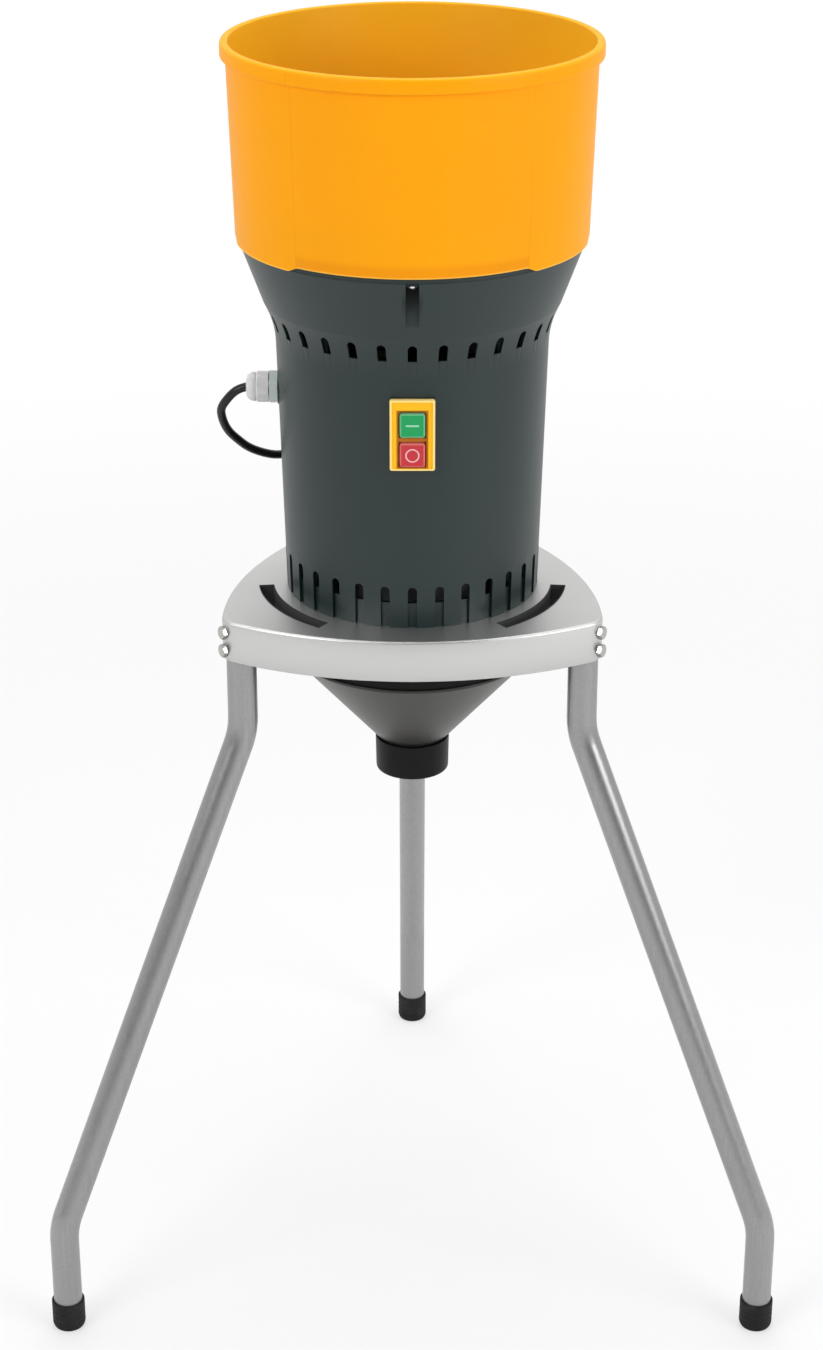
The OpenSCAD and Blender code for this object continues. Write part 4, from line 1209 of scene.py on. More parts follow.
@dataclass
class PowerCord(Assembly):
    """Mains cord from the gland to its plug, whose spare length is coiled on the plate."""

    cord_d: float = 7.3
    gland_at: tuple[float, float, float] = (-111.10, 0.0, 172.0)
    mouth_x: float = -137.4
    coil_at: tuple[float, float] = (0.0, 151.5)
    coil_r: float = 36.5
    coil_nest: float = 0.3
    coil_step: float = 10.0
    landing_lift: float = 2.6
    crossing: tuple[float, float] = (1030.0, 1100.0)
    tie_t: float = 0.8
    plug_lift: float = 4.45
    plug_tilt: float = 14.47
    plug_l: float = 60.0
    plug_d: float = 35.0
    relief_l: float = 26.0
    rib_pitch: float = 5.2
    rib_depth: float = 0.55
    grip_r: float = 12.0
    groove_pitch: float = 4.3
    groove_depth: float = 0.35
    length: float = 1.7

    @property
    def coil_top(self) -> float:
        """Height of the coil above the plate."""
        return self.tie_t + 3 * self.cord_d

    @property
    def on_coil(self) -> float:
        """Height of a turn's middle that lies on top and nests a little between the two columns."""
        return self.coil_top + self.cord_d / 2 - self.coil_nest

    @property
    def plug_at(self) -> np.ndarray:
        """Cord's end of the plug."""
        return np.array([-30.0, self.coil_at[1] - 20.0, self.coil_top + self.plug_lift])

    def first_stretch(self) -> np.ndarray:
        """Loop beside the housing, then the way round it and down to the coil.

        Returns:
            Array of (n, 3), from the gland to the coil.
        """
        loop = [
            (-10, 0, 0), (-18, 0, 0), (-26, 0, -0.3), (-35, 1, -4.2), (-43, 4, -13), (-48, 9, -23),
            (-47, 15, -35), (-43, 21, -46), (-36, 28, -56), (-28, 35, -65), (-18, 42, -72),
            (-7, 49, -77),
        ]
        round_mill = [
            (-108, -92, 69), (-96, -79, 65), (-82, -66, 57), (-65, -53, 46), (-46, -44, 32),
            (-27, -40, 17),
        ]
        centre = (*self.coil_at, self.coil_top)
        landing_y = self.coil_at[1] - self.coil_r - self.cord_d / 2
        landing = (-10.0, landing_y, self.on_coil + self.landing_lift)
        return np.vstack([np.add(self.gland_at, loop), np.add(centre, round_mill), [landing]])

    def coil(self) -> np.ndarray:
        """Turns of the coil, with a point each coil_step degrees.

        The height goes in straight steps between the listed angles: three turns down the outer
        column, then three up the inner one. The cord changes column by a smooth step.

        Returns:
            Array of (n, 3), from the first turn to the last.
        """
        low, mid, high = self.tie_t + self.cord_d / 2 + self.cord_d * np.arange(3)
        top = self.on_coil
        turn = [0, 40, 360, 400, 720, 760, 1360, 1400, 1720, 1760, 1900, 1980]
        height = [top, high, high, mid, mid, low, low, mid, mid, high, high, top]
        at = np.arange(0.0, turn[-1] + 1.0, self.coil_step)
        r = self.coil_r + self.cord_d * (0.5 - smooth_step(at, *self.crossing))
        z = np.interp(at, turn, height)
        a = np.radians(at - 90.0)
        x, y = self.coil_at
        return np.column_stack([x + r * np.cos(a), y + r * np.sin(a), z])

    def last_stretch(self) -> np.ndarray:
        """Loop over the coil that ends in the plug.

        Returns:
            Array of (n, 3), from the coil to the plug.
        """
        loop = [
            (-9.5, 34.5, 0.5), (-20, 37.5, 0.5), (-32, 39.5, 0.5), (-45, 35.5, 0.5),
            (-54.5, 26.5, 0.5), (-58.5, 15, 0.5), (-57.5, 3, 0.3), (-50.5, -9.5, -0.6),
            (-39, -17.5, -1.4),
        ]
        centre = (*self.coil_at, self.plug_at[2])
        return np.vstack([np.add(centre, loop), [self.plug_at]])

    def plug_frame(self, part: Surface) -> Surface:
        """A part of the plug, whose own z runs from the cord to the pins."""
        tilt = math.radians(self.plug_tilt)
        return part.aimed(self.plug_at, (math.cos(tilt), 0, math.sin(tilt)), (0, 1, 0))

    def plug_body(self) -> Surface:
        """Moulded plug: ribbed strain relief, waist with finger grooves and round head.

        Returns:
            The plug in its place.
        """
        relief = np.linspace(0.0, self.relief_l, 40)
        cone = self.cord_d / 2 + 0.9 + 1.7 * relief / self.relief_l
        rib = cone - self.rib_depth * (np.sin(relief * math.tau / self.rib_pitch) < -0.2)
        head, end = self.plug_d / 2, self.plug_l
        waist = np.linspace(self.relief_l + 6, end - 15, 24)
        groove = np.sin((waist - waist[0]) * math.tau / self.groove_pitch) * (waist < end - 16)
        grip = self.grip_r + self.groove_depth * groove
        front = soften(
            [(12.5, end - 14), (head, end - 10), (head, end), (0.01, end)],
            [0, 3, 1.8, 0], steps=6, closed=False,
        )
        profile = np.vstack([
            np.column_stack([rib, relief]),
            [[10.0, self.relief_l + 1.2]],
            np.column_stack([grip, waist]),
            front,
        ])
        return self.plug_frame(revolve(profile, 64, closed=False))

    def build(self) -> list[bpy.types.Object]:
        """Returns:
            The cord and the plug.
        """
        line = smooth_line(np.vstack([self.first_stretch(), self.coil(), self.last_stretch()]))
        cord = pipe(line, self.cord_d / 2).piece("mains_cord", Level.PLATE, CORD, "cord_rubber")
        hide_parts("power_cord", "cord_coil", "cord_end")
        plug = self.plug_body().piece("mains_plug", Level.PLATE, BLACK_PLASTIC, "black_plastic")
        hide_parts("plug_body")
        self.dress({"cord_tail": CORD, "cord_tie": SEAL, "plug_pins": PIN_METAL})
        return [cord, plug]


@dataclass
class Stand(Assembly):
    """Folded plate on three bent tubes with rubber caps and hexagon bolts."""

    side: float = 277.7
    corner_r: float = 18.3
    sheet_t: float = 2.0
    skirt_h: float = 35.0
    fold_r: float = 2.25
    hem_r: float = 0.5
    field_inset: float = 4.0
    bore_r: float = 18.0
    duct_rows: tuple[float, float] = (75.7, 93.3)
    duct_half: float = 13.73
    slot_rows: tuple[float, float] = (117.5, 130.5)
    slot_half: float = 24.0
    foot_spread: float = 351.0
    cap_r: float = 14.4
    cap_h: float = 27.0
    groove_heights: tuple[float, ...] = (9.0, 14.0, 19.0)
    tube_r: float = 12.55
    leg_r: float = 163.83
    bolt_heights: tuple[float, float] = (-11.0, -27.0)
    bolt_flats: float = 10.0
    bolt_head_h: float = 4.0
    bolt_r: float = 3.0
    bolt_past_leg: float = 19.5
    edging_t: float = 0.7
    # Deep enough that the edging's dark walls stand in for the shade seen through the slots.
    edging_h: float = 24.0

    @property
    def corner_at(self) -> float:
        """Distance from the mill's axis to the middle of a corner's curve."""
        return self.side / math.sqrt(3)

    def outline(self, a: np.ndarray, inset: float) -> np.ndarray:
        """Radius of the plate's edge at each angle.

        The edge is the nearest of three arcs about the opposite corners, each the plate's side and
        the corner's radius wide. Within 30 degrees of a corner's middle it is the small corner
        arc. A ray meets a circle about c at u.c + sqrt((u.c)^2 - |c|^2 + R^2).

        Args:
            a: angles in radians.
            inset: distance inside the outer face.

        Returns:
            The radii.
        """
        corners = np.radians(LEG_ANGLES)
        along = self.corner_at * np.cos(a[:, None] - corners[None])
        small = self.corner_r - inset

        def reach(radius: float) -> np.ndarray:
            """Where the rays leave circles of a radius about the three corners."""
            return along + np.sqrt(np.maximum(along**2 - self.corner_at**2 + radius**2, 0.0))

        wide, near = reach(self.side + small), reach(small)
        centre_x = self.corner_at * np.cos(corners)[None]
        centre_y = self.corner_at * np.sin(corners)[None]
        px, py = near * np.cos(a)[:, None] - centre_x, near * np.sin(a)[:, None] - centre_y
        lean = np.abs(wrapped(np.arctan2(py, px) - corners[None]))
        hit = (along**2 > self.corner_at**2 - small**2) & (along > 0) & (lean < math.pi / 6)
        edge = wide.min(axis=1)
        return np.where(hit.any(axis=1), np.where(hit, near, 0.0).max(axis=1), edge)

    def angles(self) -> np.ndarray:
        """Angles of the plate's grid: fine at the corners, with a line on each end of a slot.

        Returns:
            The angles in radians, in rising order.
        """
        fine, coarse = np.arange(-12, 12.01, 0.75), np.arange(-60, 60, 2.5)
        ends = np.array([self.duct_half, self.slot_half])
        sector = np.concatenate([fine, coarse, -ends, ends])
        whole = np.add.outer(LEG_ANGLES, sector)
        return np.radians(np.unique(np.mod(np.round(whole, 3), 360.0)))

    def plate(self) -> Surface:
        """Plate with its folded skirt, as one closed loop of rows about each angle.

        The rows run out over the field, down the outside of the fold and the skirt, back up the
        inside and home under the field. Both sides of the fold are quarter circles.

        Returns:
            The plate with its openings.
        """
        a = self.angles()
        flat = [self.bore_r, 45.0, *self.duct_rows, 105.0, *self.slot_rows]
        fold = np.radians(np.linspace(0, 90, 7))
        out, down = 1 - np.sin(fold), np.cos(fold) - 1
        inner_r = self.fold_r - self.sheet_t
        hem = self.hem_r
        edge = [
            (self.field_inset, 0.0),
            *zip(self.fold_r * out, self.fold_r * down),
            (0.0, -self.skirt_h + hem), (hem, -self.skirt_h),
            (self.sheet_t - hem, -self.skirt_h), (self.sheet_t, -self.skirt_h + hem),
            *zip(self.sheet_t + inner_r * out[::-1], -self.sheet_t + inner_r * down[::-1]),
            (self.field_inset, -self.sheet_t),
        ]
        rows = [(np.full(len(a), r), 0.0) for r in flat]
        rows += [(self.outline(a, inset), z) for inset, z in edge]
        rows += [(np.full(len(a), r), -self.sheet_t) for r in flat[::-1]]
        points = polar(np.stack([r for r, _ in rows], 1), np.array([z for _, z in rows]), a)
        cuts = [(self.duct_rows, self.duct_half), (self.slot_rows, self.slot_half)]
        places = [(flat.index(pair[0]), half) for pair, half in cuts]
        return cut_grid(points, a, [(i, len(rows) - 2 - i, half) for i, half in places])

    def edging(self) -> Surface:
        """Soft edging inside the hand slots, which hides the sheet's edge from the fingers.

        Its section is a rectangle that follows each slot's outline: two arcs joined by two straight
        ends, with as many points on the inner outline as on the outer one. Its walls reach edging_h
        down, deeper than the trim needs, so that their dark rubber fills the view through each slot
        and stands in for the shade under the plate.

        Returns:
            The edging of all three slots.
        """
        steps = np.linspace(-1.0, 1.0, 33)

        def outline(inset: float) -> np.ndarray:
            """The slot's outline.

            Args:
                inset: how far it is moved inwards.

            Returns:
                Array of (x, y).
            """
            low, high = self.slot_rows[0] + inset, self.slot_rows[1] - inset
            half = math.radians(self.slot_half) - inset / self.slot_rows[0]
            r = np.repeat([high, low], len(steps))
            a = half * np.concatenate([steps, -steps])
            return np.column_stack([r * np.cos(a), r * np.sin(a)])

        out, within = outline(0.02), outline(self.edging_t)
        low = -self.edging_h
        one = loft([out, out, within, within], [0.3, low, low, 0.3], closed=True)
        return gathered(one.turned(middle) for middle in LEG_ANGLES)

    def cap(self) -> Surface:
        """Rubber cap of one foot: rounded sole, three shallow grooves and a soft lip.

        Returns:
            The cap, at its distance along +x.
        """
        grooves = []
        for z in self.groove_heights:
            grooves += [(self.cap_r, z - 1.2), (self.cap_r - 0.5, z), (self.cap_r, z + 1.2)]
        profile = soften(
            [(0.0, 4.0), (0.01, 0.4), (4.0, 0.4), (5.0, 0.0), (12.6, 0.0), (self.cap_r, 3.5),
             *grooves, (self.cap_r, self.cap_h), (self.tube_r, self.cap_h), (self.tube_r, 4.0)],
            [0, 0, 0.5, 0.5, 1.5, 2.0, *[0.5] * len(grooves), 0.7, 0.5, 0.4], closed=False,
        )
        return revolve(profile, 56, closed=False).moved((self.foot_spread, 0, 0))

    def bolts(self) -> Surface:
        """Two hexagon bolts at each corner of the plate.

        Returns:
            All six bolts.
        """
        face = self.corner_at + self.corner_r
        shank = face - self.leg_r + self.bolt_past_leg
        head = hex_head(self.bolt_flats, self.bolt_head_h, self.bolt_r, shank, crown=0.9)
        parts = []
        for middle in LEG_ANGLES:
            out = np.array([math.cos(math.radians(middle)), math.sin(math.radians(middle)), 0.0])
            for z in self.bolt_heights:
                place = out * face + np.array([0.0, 0.0, z])
                parts.append(head.aimed(place, out))
        return gathered(parts)

    def build(self) -> list[bpy.types.Object]:
        """Makes the plate, the caps, the bolts and the edging, and dresses the tubes.

        Returns:
            The new pieces.
        """
        plate = self.plate().piece("stand_sheet", Level.PLATE, SHEET, "plate_steel", sharp=50.0)
        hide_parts("stand_plate")
        pieces = [plate]
        for side, middle in zip(("back", "left", "right"), LEG_ANGLES):
            cap = self.cap().turned(middle)
            cap = cap.piece(f"rubber_cap_{side}", Level.FLOOR, CAP, "cap_rubber")
            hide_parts(f"foot_cap_{side}")
            pieces.append(cap)
        bolts = self.bolts().piece("corner_bolts", Level.PLATE, ZINC, "zinc", sharp=25.0)
        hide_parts("leg_bolts")
        self.dress({"leg_left": LEG, "leg_right": LEG, "leg_back": LEG, "leg_nuts": ZINC})
        edging = self.edging().piece("slot_edging", Level.PLATE, EDGING, "black_plastic")
        return [*pieces, bolts, edging]


@dataclass
class Hopper(Assembly):
    """Moulded tub with a rolled lip, sloping floor, dome and three duct openings."""

    height: float = 159.0
    base_r: float = 143.0
    lip_r: float = 147.5
    lip_z: float = 147.0
    lip_out: float = 4.3
    wall: float = 2.6
    floor_z: float = 14.0
    floor_r: float = 94.0
    slope_z: float = 42.0
    slope_r: float = 141.69
    dome_r: float = 75.0
    dome_h: float = 57.0
    dome_arc: tuple[float, float] = (89.7, 3.0)
    draft: float = 0.03
    duct_rows: tuple[float, float] = (77.5, 91.5)
    duct_half: float = 12.37
    edge_z: float = 0.3
    edge_lift: float = 4.2
    lift_fade: tuple[float, float] = (38.0, 43.0)
    screw_r: float = 131.0
    screw_head_r: float = 4.3

    def angles(self) -> np.ndarray:
        """Angles of the tub's grid, with lines where the edge rises and at the ducts.

        Returns:
            The angles in radians, in rising order.
        """
        marks = [np.arange(0.0, 360.0, 2.0)]
        fade = np.linspace(*self.lift_fade, 6)
        for leg, screw in zip(LEG_ANGLES, SCREW_ANGLES):
            marks.append(leg + np.array([-self.duct_half, self.duct_half]))
            marks.append(screw + np.concatenate([-fade, fade]))
        return np.radians(np.unique(np.mod(np.round(np.concatenate(marks), 3), 360.0)))

    def tub(self) -> Surface:
        """The tub as one closed loop of rows about each angle.

        Rows run from the dome's top down to the floor, out and up the wall, over the lip, down the
        outside and back under the floor. The dome is an ellipse. The lowest rows of the outside
        are lifted to edge_lift near a screw. The lift ends by a smooth step between the two angles
        of lift_fade.

        Returns:
            The tub with its openings.
        """
        a = self.angles()
        quarter = np.radians(np.linspace(*self.dome_arc, 20))[:, None]
        rise = self.dome_h * np.sin(quarter)
        dome = np.hstack([self.dome_r * np.cos(quarter), self.floor_z + rise])
        under_r = self.dome_r - self.wall
        under_z = self.floor_z - self.wall
        below = np.hstack([under_r * np.cos(quarter), under_z + rise])[::-1]
        inner = self.lip_r + (self.height - self.lip_z) * self.draft - self.wall
        lip = self.lip_r + self.lip_out
        duct_in, duct_out = self.duct_rows
        wall = soften(
            [(duct_out, self.floor_z), (self.floor_r, self.floor_z), (self.slope_r, self.slope_z),
             (inner, self.height), (lip, self.height), (lip, self.lip_z), (self.lip_r, self.lip_z),
             (self.base_r, self.edge_z), (self.base_r - self.wall, self.edge_z),
             (self.slope_r - self.wall * 0.1, self.slope_z - self.wall),
             (self.floor_r, under_z), (duct_out, under_z)],
            [0, 2, 9, 1.8, 3.4, 1.6, 1.0, 0.9, 0.9, 0.5, 0.5, 0], steps=5, closed=False,
        )
        upper, lower = (duct_in, self.floor_z), (duct_in, under_z)
        top = len(dome)
        low = top + len(wall)
        r, z = np.vstack([dome, [upper], wall, [lower], below]).T
        points = polar(r, z, a)
        edge = np.flatnonzero((z < 3.0) & (r > self.base_r - self.wall - 0.2))
        off = np.degrees(np.abs(wrapped(a[:, None] - np.radians(SCREW_ANGLES)[None]))).min(axis=1)
        near = smooth_step(off, *self.lift_fade[::-1])
        points[:, edge, 2] += near[:, None] * (self.edge_lift - self.edge_z)
        return cut_grid(points, a, [(top, low, self.duct_half)])

    def screws(self) -> Surface:
        """Three pan-head screws that hold the tub from below.

        Returns:
            The screws.
        """
        head = soften(
            [(0.01, -6.2), (2.2, -6.2), (self.screw_head_r, -4.4), (self.screw_head_r, -3.0),
             (2.0, -3.0), (2.0, 24.0), (0.01, 24.0)],
            [0, 1.0, 1.0, 0.1, 0.1, 0.6, 0], steps=6, closed=False,
        )
        one = revolve(head, 40, closed=False).moved((self.screw_r, 0, 0))
        return gathered(one.turned(angle) for angle in SCREW_ANGLES)

    def bosses(self) -> Surface:
        """Three bosses under the floor that the screws cut their thread in.

        Returns:
            The bosses.
        """
        rim = soften([(2.05, 0.0), (4.5, 0.0), (4.5, 36.0), (2.05, 36.0)], 0.3, steps=3)
        one = revolve(rim, 32).moved((self.screw_r, 0, 0))
        return gathered(one.turned(angle) for angle in SCREW_ANGLES)

    def build(self) -> list[bpy.types.Object]:
        """Makes the tub, its bosses and its screws, and dresses the feed ducts.

        Returns:
            The new pieces.
        """
        tub = self.tub().piece("hopper_tub", Level.HOPPER, HOPPER, "hopper")
        bosses = self.bosses().piece("hopper_bosses", Level.HOPPER, HOPPER, "hopper")
        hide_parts("hopper")
        screws = self.screws().piece("tub_screws", Level.HOPPER, NICKEL, "zinc")
        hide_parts("hopper_screws")
        self.dress({"feed_ducts": SLATE_PLAIN})
        return [tub, bosses, screws]


@dataclass
class Switch(Assembly):
    """Yellow switch plate with a green start and a red stop button."""

    half_w: float = 18.0
    half_h: float = 29.5
    plate_t: float = 4.5
    seat_y: float = -111.856
    middle_z: float = 169.4
    rim_w: float = 2.2
    rim_h: float = 0.9
    well_half_w: float = 12.2
    well_low: float = -27.3
    well_high: float = 20.6
    button_half: tuple[float, float] = (10.2, 10.1)
    button_l: float = 10.0
    face_y: float = -115.756
    start_z: float = 177.4
    stop_z: float = 152.6
    bar_t: float = 1.4
    mark_depth: float = 0.6
    mark_rise: float = 0.03
    dash_half: tuple[float, float] = (5.3, 0.7)
    dash_top: tuple[float, float] = (5.15, 0.6)
    ring_r: tuple[float, float] = (4.5, 5.7)
    spring_seat: float = -96.88
    spring_r: float = 4.5
    spring_turns: float = 5.5
    wire_r: float = 0.4

    @staticmethod
    def front(part: Surface, z: float, y: float) -> Surface:
        """A part whose own z points out of the front, from y and a height above the plate."""
        return part.aimed((0.0, y, z), (0, -1, 0))

    def plate(self) -> Surface:
        """Switch plate: raised rim, flat field and a well that narrows to the buttons.

        It is a loop of matching round outlines, each with its half width, half height, corner
        radius, middle and height above the seat.

        Returns:
            The plate in its place.
        """
        t, step = self.plate_t, self.plate_t - self.rim_h
        well_mid = (self.well_low + self.well_high) / 2
        well = (self.well_half_w, (self.well_high - self.well_low) / 2)
        neck_low = self.well_low + 0.1
        neck_high = self.start_z + self.button_half[1] + 0.5 - self.middle_z
        neck = (self.button_half[0] + 0.5, (neck_high - neck_low) / 2)
        neck_mid = (neck_low + neck_high) / 2
        w, h = self.half_w, self.half_h
        rings = [
            (w - 0.3, h - 0.3, 1.5, 0, 0.0),
            (w, h, 1.8, 0, 0.3),
            (w, h, 1.8, 0, t - 1.1),
            (w - 0.35, h - 0.35, 1.6, 0, t - 0.3),
            (w - 1.1, h - 1.1, 1.4, 0, t),
            (w - self.rim_w + 0.5, h - self.rim_w + 0.5, 1.3, 0, t),
            (w - self.rim_w, h - self.rim_w, 1.0, 0, t - 0.35),
            (w - self.rim_w - 0.2, h - self.rim_w - 0.05, 1.0, 0, step),
            (well[0] + 0.3, well[1] + 0.02, 2.6, well_mid, step),
            (well[0], well[1] - 0.1, 2.5, well_mid, step - 0.25),
            (neck[0], neck[1], 2.2, neck_mid, 1.5),
            (neck[0], neck[1], 2.2, neck_mid, 0.0),
        ]
        outlines = [rounded_box(ring[:2], ring[2], (0, ring[3])) for ring in rings]
        shell = loft(outlines, [ring[-1] for ring in rings], closed=True)
        return self.front(shell, self.middle_z, self.seat_y)

    def bar(self) -> Surface:
        """Bar between the two buttons, a little below the plate's field.

        Returns:
            The bar in its place.
        """
        low = self.stop_z + self.button_half[1] + 0.4
        high = self.start_z - self.button_half[1] - 0.4
        half = (self.well_half_w + 0.5, (high - low) / 2)
        top = self.bar_t
        sizes = [(*half, 0.3, 0.0), (*half, 0.3, top - 0.5), (half[0], half[1] - 0.5, 0.3, top)]
        outlines = [rounded_box((w, h), radius) for w, h, radius, _ in sizes]
        shell = loft(outlines, [z for *_, z in sizes])
        return self.front(shell, (low + high) / 2, self.seat_y)

    def button(self, z: float) -> Surface:
        """Square button whose edge rolls over and whose face is dished by 0.25 mm.

        Args:
            z: height of its middle above the plate.

        Returns:
            The button in its place.
        """
        (w, h), face = self.button_half, self.button_l
        sizes = [
            (0.2, 2.0, 0.0), (0.0, 2.2, 0.2), (0.0, 2.2, face - 1.6), (0.25, 2.1, face - 0.7),
            (0.8, 1.9, face - 0.15), (1.5, 1.7, face), (2.4, 1.5, face - 0.05),
            (5.5, 1.2, face - 0.2), (8.5, 0.8, face - 0.25),
        ]
        outlines = [rounded_box((w - inset, h - inset), radius) for inset, radius, _ in sizes]
        shell = loft(outlines, [height for *_, height in sizes])
        return self.front(shell, z, self.face_y + face)

    def dash(self) -> Surface:
        """Raised mark of the start button: a short bar with round ends.

        Returns:
            The bar in its place.
        """
        foot, top = self.dash_half, self.dash_top
        sizes = [(*foot, -self.mark_depth), (*foot, -0.1), (*top, self.mark_rise)]
        outlines = [rounded_box((w, h), h - 0.01) for w, h, _ in sizes]
        return self.front(loft(outlines, [z for _, _, z in sizes]), self.start_z, self.face_y)

    def disc(self) -> Surface:
        """Raised mark of the stop button: a ring.

        Returns:
            The ring in its place.
        """
        (low, high), foot, top = self.ring_r, -self.mark_depth, self.mark_rise
        ring = soften([(low, foot), (high, foot), (high, top), (low, top)], 0.15, steps=2)
        return self.front(revolve(ring, 56), self.stop_z, self.face_y)

    def spring(self, z: float, body: str, name: str) -> bpy.types.Object:
        """Coil spring behind a button, made at one length on no body, so it doesn't shorten with
        it.

        Args:
            z: height of the button's middle above the plate.
            body: the button's body; not used.
            name: the spring's node.

        Returns:
            The spring.
        """
        back, front = self.spring_seat, self.face_y + self.button_l + 0.1
        t = np.linspace(0, 1, 181)
        turn = t * math.tau * self.spring_turns
        rise = np.clip((t - 0.09) / 0.82, 0, 1)
        y = back - self.wire_r + (front + 2 * self.wire_r - back) * rise
        line = np.column_stack([self.spring_r * np.cos(turn), y, z + self.spring_r * np.sin(turn)])
        wire = pipe(line, self.wire_r, 8)
        made = wire.piece(f"{name}_coil", Level.PLATE, SPRING, "spring_steel", body=None)
        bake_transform(made)
        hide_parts(name)
        return made

    def build(self) -> list[bpy.types.Object]:
        """Makes the switch plate, its bar, both buttons, their marks and their springs.

        Returns:
            The new pieces.
        """
        plate = self.plate().piece("switch_plate", Level.PLATE, SWITCH_YELLOW, "switch_yellow")
        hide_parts("switch_frame")
        bar = self.bar().piece("switch_bar", Level.PLATE, SWITCH_YELLOW, "switch_yellow")
        start, stop = self.button(self.start_z), self.button(self.stop_z)
        start = start.piece("start_key", Level.PLATE, START_GREEN, "start_green", "start_button")
        stop = stop.piece("stop_key", Level.PLATE, STOP_RED, "stop_red", "stop_button")
        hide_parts("start_button")
        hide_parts("stop_button")
        dash = self.dash().piece(
            "start_mark", Level.PLATE, SYMBOL_GREEN, "start_green", "start_button"
        )
        disc = self.disc().piece("stop_mark", Level.PLATE, SYMBOL_PINK, "stop_red", "stop_button")
        springs = [
            self.spring(self.start_z, "start_button", "start_spring"),
            self.spring(self.stop_z, "stop_button", "stop_spring"),
        ]
        self.dress({"switch_body": BLACK_PLASTIC})
        return [plate, bar, start, stop, dash, disc, *springs]


@dataclass
class Gland(Assembly):
    """Cable gland on the left of the housing."""

    seat_x: float = -111.10
    height: float = 172.0
    body_l: float = 7.3
    nut_l: float = 19.0
    flats: float = 24.0
    thread_r: float = 10.05
    mouth_r: float = 4.0

    def nut(self) -> Surface:
        """Domed nut with a groove, whose radius is the lesser of a hexagon's and the dome's.

        Returns:
            The nut in its place.
        """
        a = circle(96)
        mouth, thread = self.mouth_r, self.thread_r
        dome = soften(
            [(12.75, 0.3), (12.75, 9.6), (11.7, 10.2), (11.7, 10.8), (12.1, 11.3),
             (12.0, 14.5), (9.0, 18.4), (mouth, self.nut_l)],
            [0, 0.3, 0.2, 0.2, 0.3, 2.4, 2.5, 0], steps=5, closed=False,
        )
        r = np.minimum(hexagon_radius(a, self.flats + 0.5)[:, None], dome[:, 0][None])
        bore = np.array([(mouth, 12.5), (thread, 12.5), (thread, 0.0), (11.9, 0.0)])
        r = np.hstack([r, np.broadcast_to(bore[:, 0], (len(a), len(bore)))])
        shell = grid(polar(r, np.concatenate([dome[:, 1], bore[:, 1]]), a), close_v=True)
        return shell.aimed((self.seat_x - self.body_l, 0, self.height), (-1, 0, 0))

    def build(self) -> list[bpy.types.Object]:
        """Makes the nut and dresses the rest.

        Returns:
            The nut.
        """
        nut = self.nut().piece("gland_dome_nut", Level.PLATE, NUT_GREY, "gland_grey", sharp=30.0)
        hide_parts("gland_nut")
        self.dress({"gland_body": GLAND_GREY, "gland_seal": SEAL, "gland_locknut": GLAND_GREY})
        return [nut]


@dataclass
class Outlet(Assembly):
    """Black ring, funnel and collar below the plate. The ring's black also stands in for the shade
    under the plate.
    """

    ring_low: float = -57.0
    funnel_r: float = 105.0
    spigot_r: float = 100.2
    spigot_h: float = 13.0
    wall: float = 2.5
    neck_r: float = 29.0
    neck_z: float = -144.0
    neck_low: float = -172.0
    collar_r: float = 32.0
    collar_low: float = -175.0
    collar_top: float = -144.5

    def funnel(self) -> Surface:
        """Funnel that turns into its neck with a soft curve.

        Returns:
            The funnel.
        """
        inner, bore = self.spigot_r - self.wall, self.neck_r - self.wall
        low, top = self.ring_low, self.ring_low + self.spigot_h
        profile = soften(
            [(self.neck_r, self.neck_low), (self.neck_r, self.neck_z),
             (self.neck_r + 4.0, self.neck_z + 3.5), (self.funnel_r, low - 2.3),
             (self.funnel_r, low), (self.spigot_r, low), (self.spigot_r, top), (inner, top),
             (inner, low - 5.0), (bore, self.neck_z), (bore, self.neck_low)],
            [0.4, 1.0, 4.0, 0.8, 0.6, 0.3, 0.4, 0.4, 4.0, 6.0, 0.4], steps=5,
        )
        return revolve(profile, 128)

    def collar(self) -> Surface:
        """Collar around the neck, slightly tapered, with a round lower edge.

        Returns:
            The collar.
        """
        bore = self.neck_r + 0.05
        profile = soften(
            [(bore, self.collar_low), (self.collar_r - 0.6, self.collar_low),
             (self.collar_r, self.collar_top), (bore, self.collar_top)],
            [0.5, 2.6, 0.5, 0.4], steps=6,
        )
        return revolve(profile, 112)

    def build(self) -> list[bpy.types.Object]:
        """Makes the funnel and the collar, and dresses the ring.

        Returns:
            The funnel and the collar.
        """
        funnel = self.funnel().piece("meal_funnel", Level.PLATE, FUNNEL, "funnel_grey")
        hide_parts("funnel")
        collar = self.collar().piece("spout_collar", Level.PLATE, COLLAR, "collar_black")
        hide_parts("outlet_collar")
        # The ring's black enamel also stands in for the shade that the plate casts on the outlet.
        self.dress({"chamber_ring": BLACK_METAL, "funnel_screws": ZINC})
        return [funnel, collar]


class Works(Assembly):
    """Housing, motor and milling parts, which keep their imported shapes."""

    def build(self) -> list[bpy.types.Object]:
        """Dresses the housing and everything inside it.

        Returns:
            No pieces, since none is new.
        """
        self.dress({
            "housing": SLATE, "stator": IRON, "windings": COPPER, "rotor_core": IRON,
            "shaft": SHAFT_STEEL, "lower_bearing": SHAFT_STEEL, "upper_bearing": SHAFT_STEEL,
            "lower_end_shield": CAST, "upper_end_shield": CAST, "motor_bolts": ZINC,
            "motor_nuts": ZINC, "fan": BLACK_PLASTIC, "fan_clip": DARK_STEEL,
            "fan_cowl": BLACK_METAL, "capacitor": CAN, "capacitor_clip": ZINC,
            "terminal_block": BLACK_PLASTIC, "blade": DARK_STEEL, "blade_hub": DARK_STEEL,
            "blade_nut": ZINC, "sieve": CAN, "chamber_bolts": ZINC, "chamber_nuts": ZINC,
        })
        return []


# ---------------------------------------------------------------- studio


@dataclass(frozen=True)
class Lamp:
    """One soft light: where it stands, how large it is and its power in watts."""

    name: str
    at: tuple[float, float, float]
    size: float
    power: float


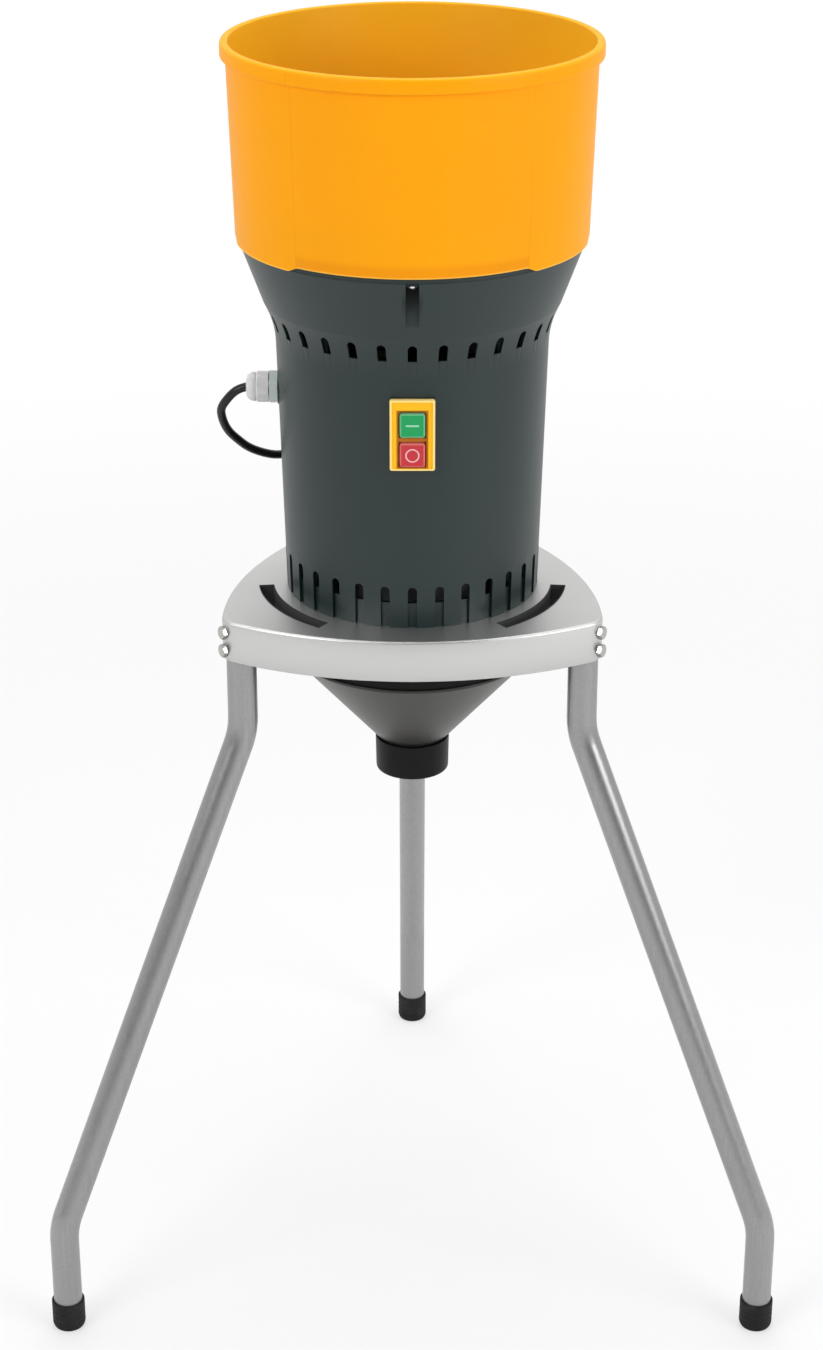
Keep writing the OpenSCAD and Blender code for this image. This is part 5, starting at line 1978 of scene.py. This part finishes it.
@dataclass(frozen=True)
class Studio:
    """Camera, lamps, world and floor. Places and sizes are in metres, and angles in degrees."""

    camera_at: tuple[float, float, float] = (-0.0007, -2.32225, 1.553)
    camera_pitch: float = 65.86
    lens: float = 75.55
    target: tuple[float, float, float] = (0.0, -0.05, 0.65)
    floor_r: float = 9.0
    floor_grey: float = 0.76
    floor_fade: tuple[float, float] = (0.7, 2.6)
    floor_white: float = 0.55
    floor_gloss: float = 0.65
    world_front: float = 0.12
    world_rise: float = 0.68
    world_below: float = 0.6
    world_turn: tuple[float, float] = (-0.9, 0.1)
    lamps: tuple[Lamp, ...] = (
        Lamp("key_left", (-2.2, -2.4, 2.4), 1.6, 54.0),
        Lamp("fill_right", (2.4, -1.9, 1.7), 1.6, 45.0),
        Lamp("top", (0.0, 0.5, 3.4), 2.2, 50.0),
    )

    def set_camera(self) -> None:
        """Adds the camera and makes it the scene's."""
        data = bpy.data.cameras.new("camera")
        data.lens, data.sensor_width, data.sensor_fit = self.lens, 36.0, "AUTO"
        camera = linked("camera", data)
        camera.location = self.camera_at
        camera.rotation_euler = (math.radians(self.camera_pitch), 0.0, 0.0)
        bpy.context.scene.camera = camera

    def set_lamps(self) -> None:
        """Adds the lamps, each turned to the target."""
        for lamp in self.lamps:
            data = bpy.data.lights.new(lamp.name, "AREA")
            data.size, data.energy = lamp.size, lamp.power
            made = linked(lamp.name, data)
            made.location = lamp.at
            aim = Vector(self.target) - Vector(lamp.at)
            made.rotation_euler = aim.to_track_quat("-Z", "Y").to_euler()

    def set_world(self) -> None:
        """World that is white to the camera and lights the object from the sides and the back.

        The light is dimmer in front, where the lamps stand, and below.
        """
        world = bpy.data.worlds.new("studio")
        bpy.context.scene.world = world
        world.use_nodes = True
        graph = Graph(world.node_tree)
        way = graph.node("TexCoord", output="Generated")
        _, y, z = way.split()
        light = y.between(*self.world_turn) * self.world_rise + self.world_front
        light = light * (z.between(*self.world_turn) * (1 - self.world_below) + self.world_below)
        rays = graph.node("LightPath", output="Is Camera Ray")
        strength = rays + (1 - rays) * light
        back = graph.node("Background", None, {"Color": (1.0, 1.0, 1.0), "Strength": strength})
        graph.show("OutputWorld", back)

    def set_floor(self) -> None:
        """Adds a round pale floor that fades into the white background."""
        a = circle(96)
        r = np.array([0.02, 1.0, 3.0, self.floor_r])
        flat = grid(polar(r, np.zeros_like(r), a))
        middle = list(range(0, len(a) * len(r), len(r)))
        mesh = bpy.data.meshes.new("floor")
        mesh.from_pydata(flat.points.tolist(), [], [*flat.face_lists(), middle])
        floor = linked("floor", mesh)
        material = bpy.data.materials.new("pale_floor")
        material.use_nodes = True
        graph = Graph(material.node_tree)
        away = graph.node("VectorMath", {"operation": "LENGTH"}, {0: graph.place()}, "Value")
        far = away.between(*self.floor_fade)
        path = graph.add("LightPath").outputs
        seen, glossy = Sock(graph, path["Is Camera Ray"]), Sock(graph, path["Is Glossy Ray"])
        pale = graph.node("BsdfDiffuse", None, {"Color": (self.floor_grey,) * 3})
        white = graph.node("Emission", None, {"Color": (1.0, 1.0, 1.0), "Strength": 1.0})
        shown = far * (1 - self.floor_white) + self.floor_white
        factor = seen * shown + glossy * (far * self.floor_gloss)
        graph.show("OutputMaterial", graph.node("MixShader", None, {0: factor, 1: pale, 2: white}))
        mesh.materials.append(material)

    def build(self) -> None:
        """Adds everything of the studio and sets how the picture is shown."""
        self.set_camera()
        self.set_lamps()
        self.set_world()
        self.set_floor()
        bpy.context.scene.view_settings.view_transform = "Standard"


def main() -> None:
    """Loads the frame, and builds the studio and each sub-assembly."""
    logging.basicConfig(level=logging.INFO, format="%(message)s")
    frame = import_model()
    nodes = frame["nodes"]
    Studio().build()
    for kind in (PowerCord, Stand, Works, Hopper, Switch, Gland, Outlet):
        pieces = kind(nodes).build()
        for piece in pieces:
            LOG.info("%s: %s, %d faces", kind.__name__, piece.name, len(piece.data.polygons))


if __name__ == "__main__":
    main()
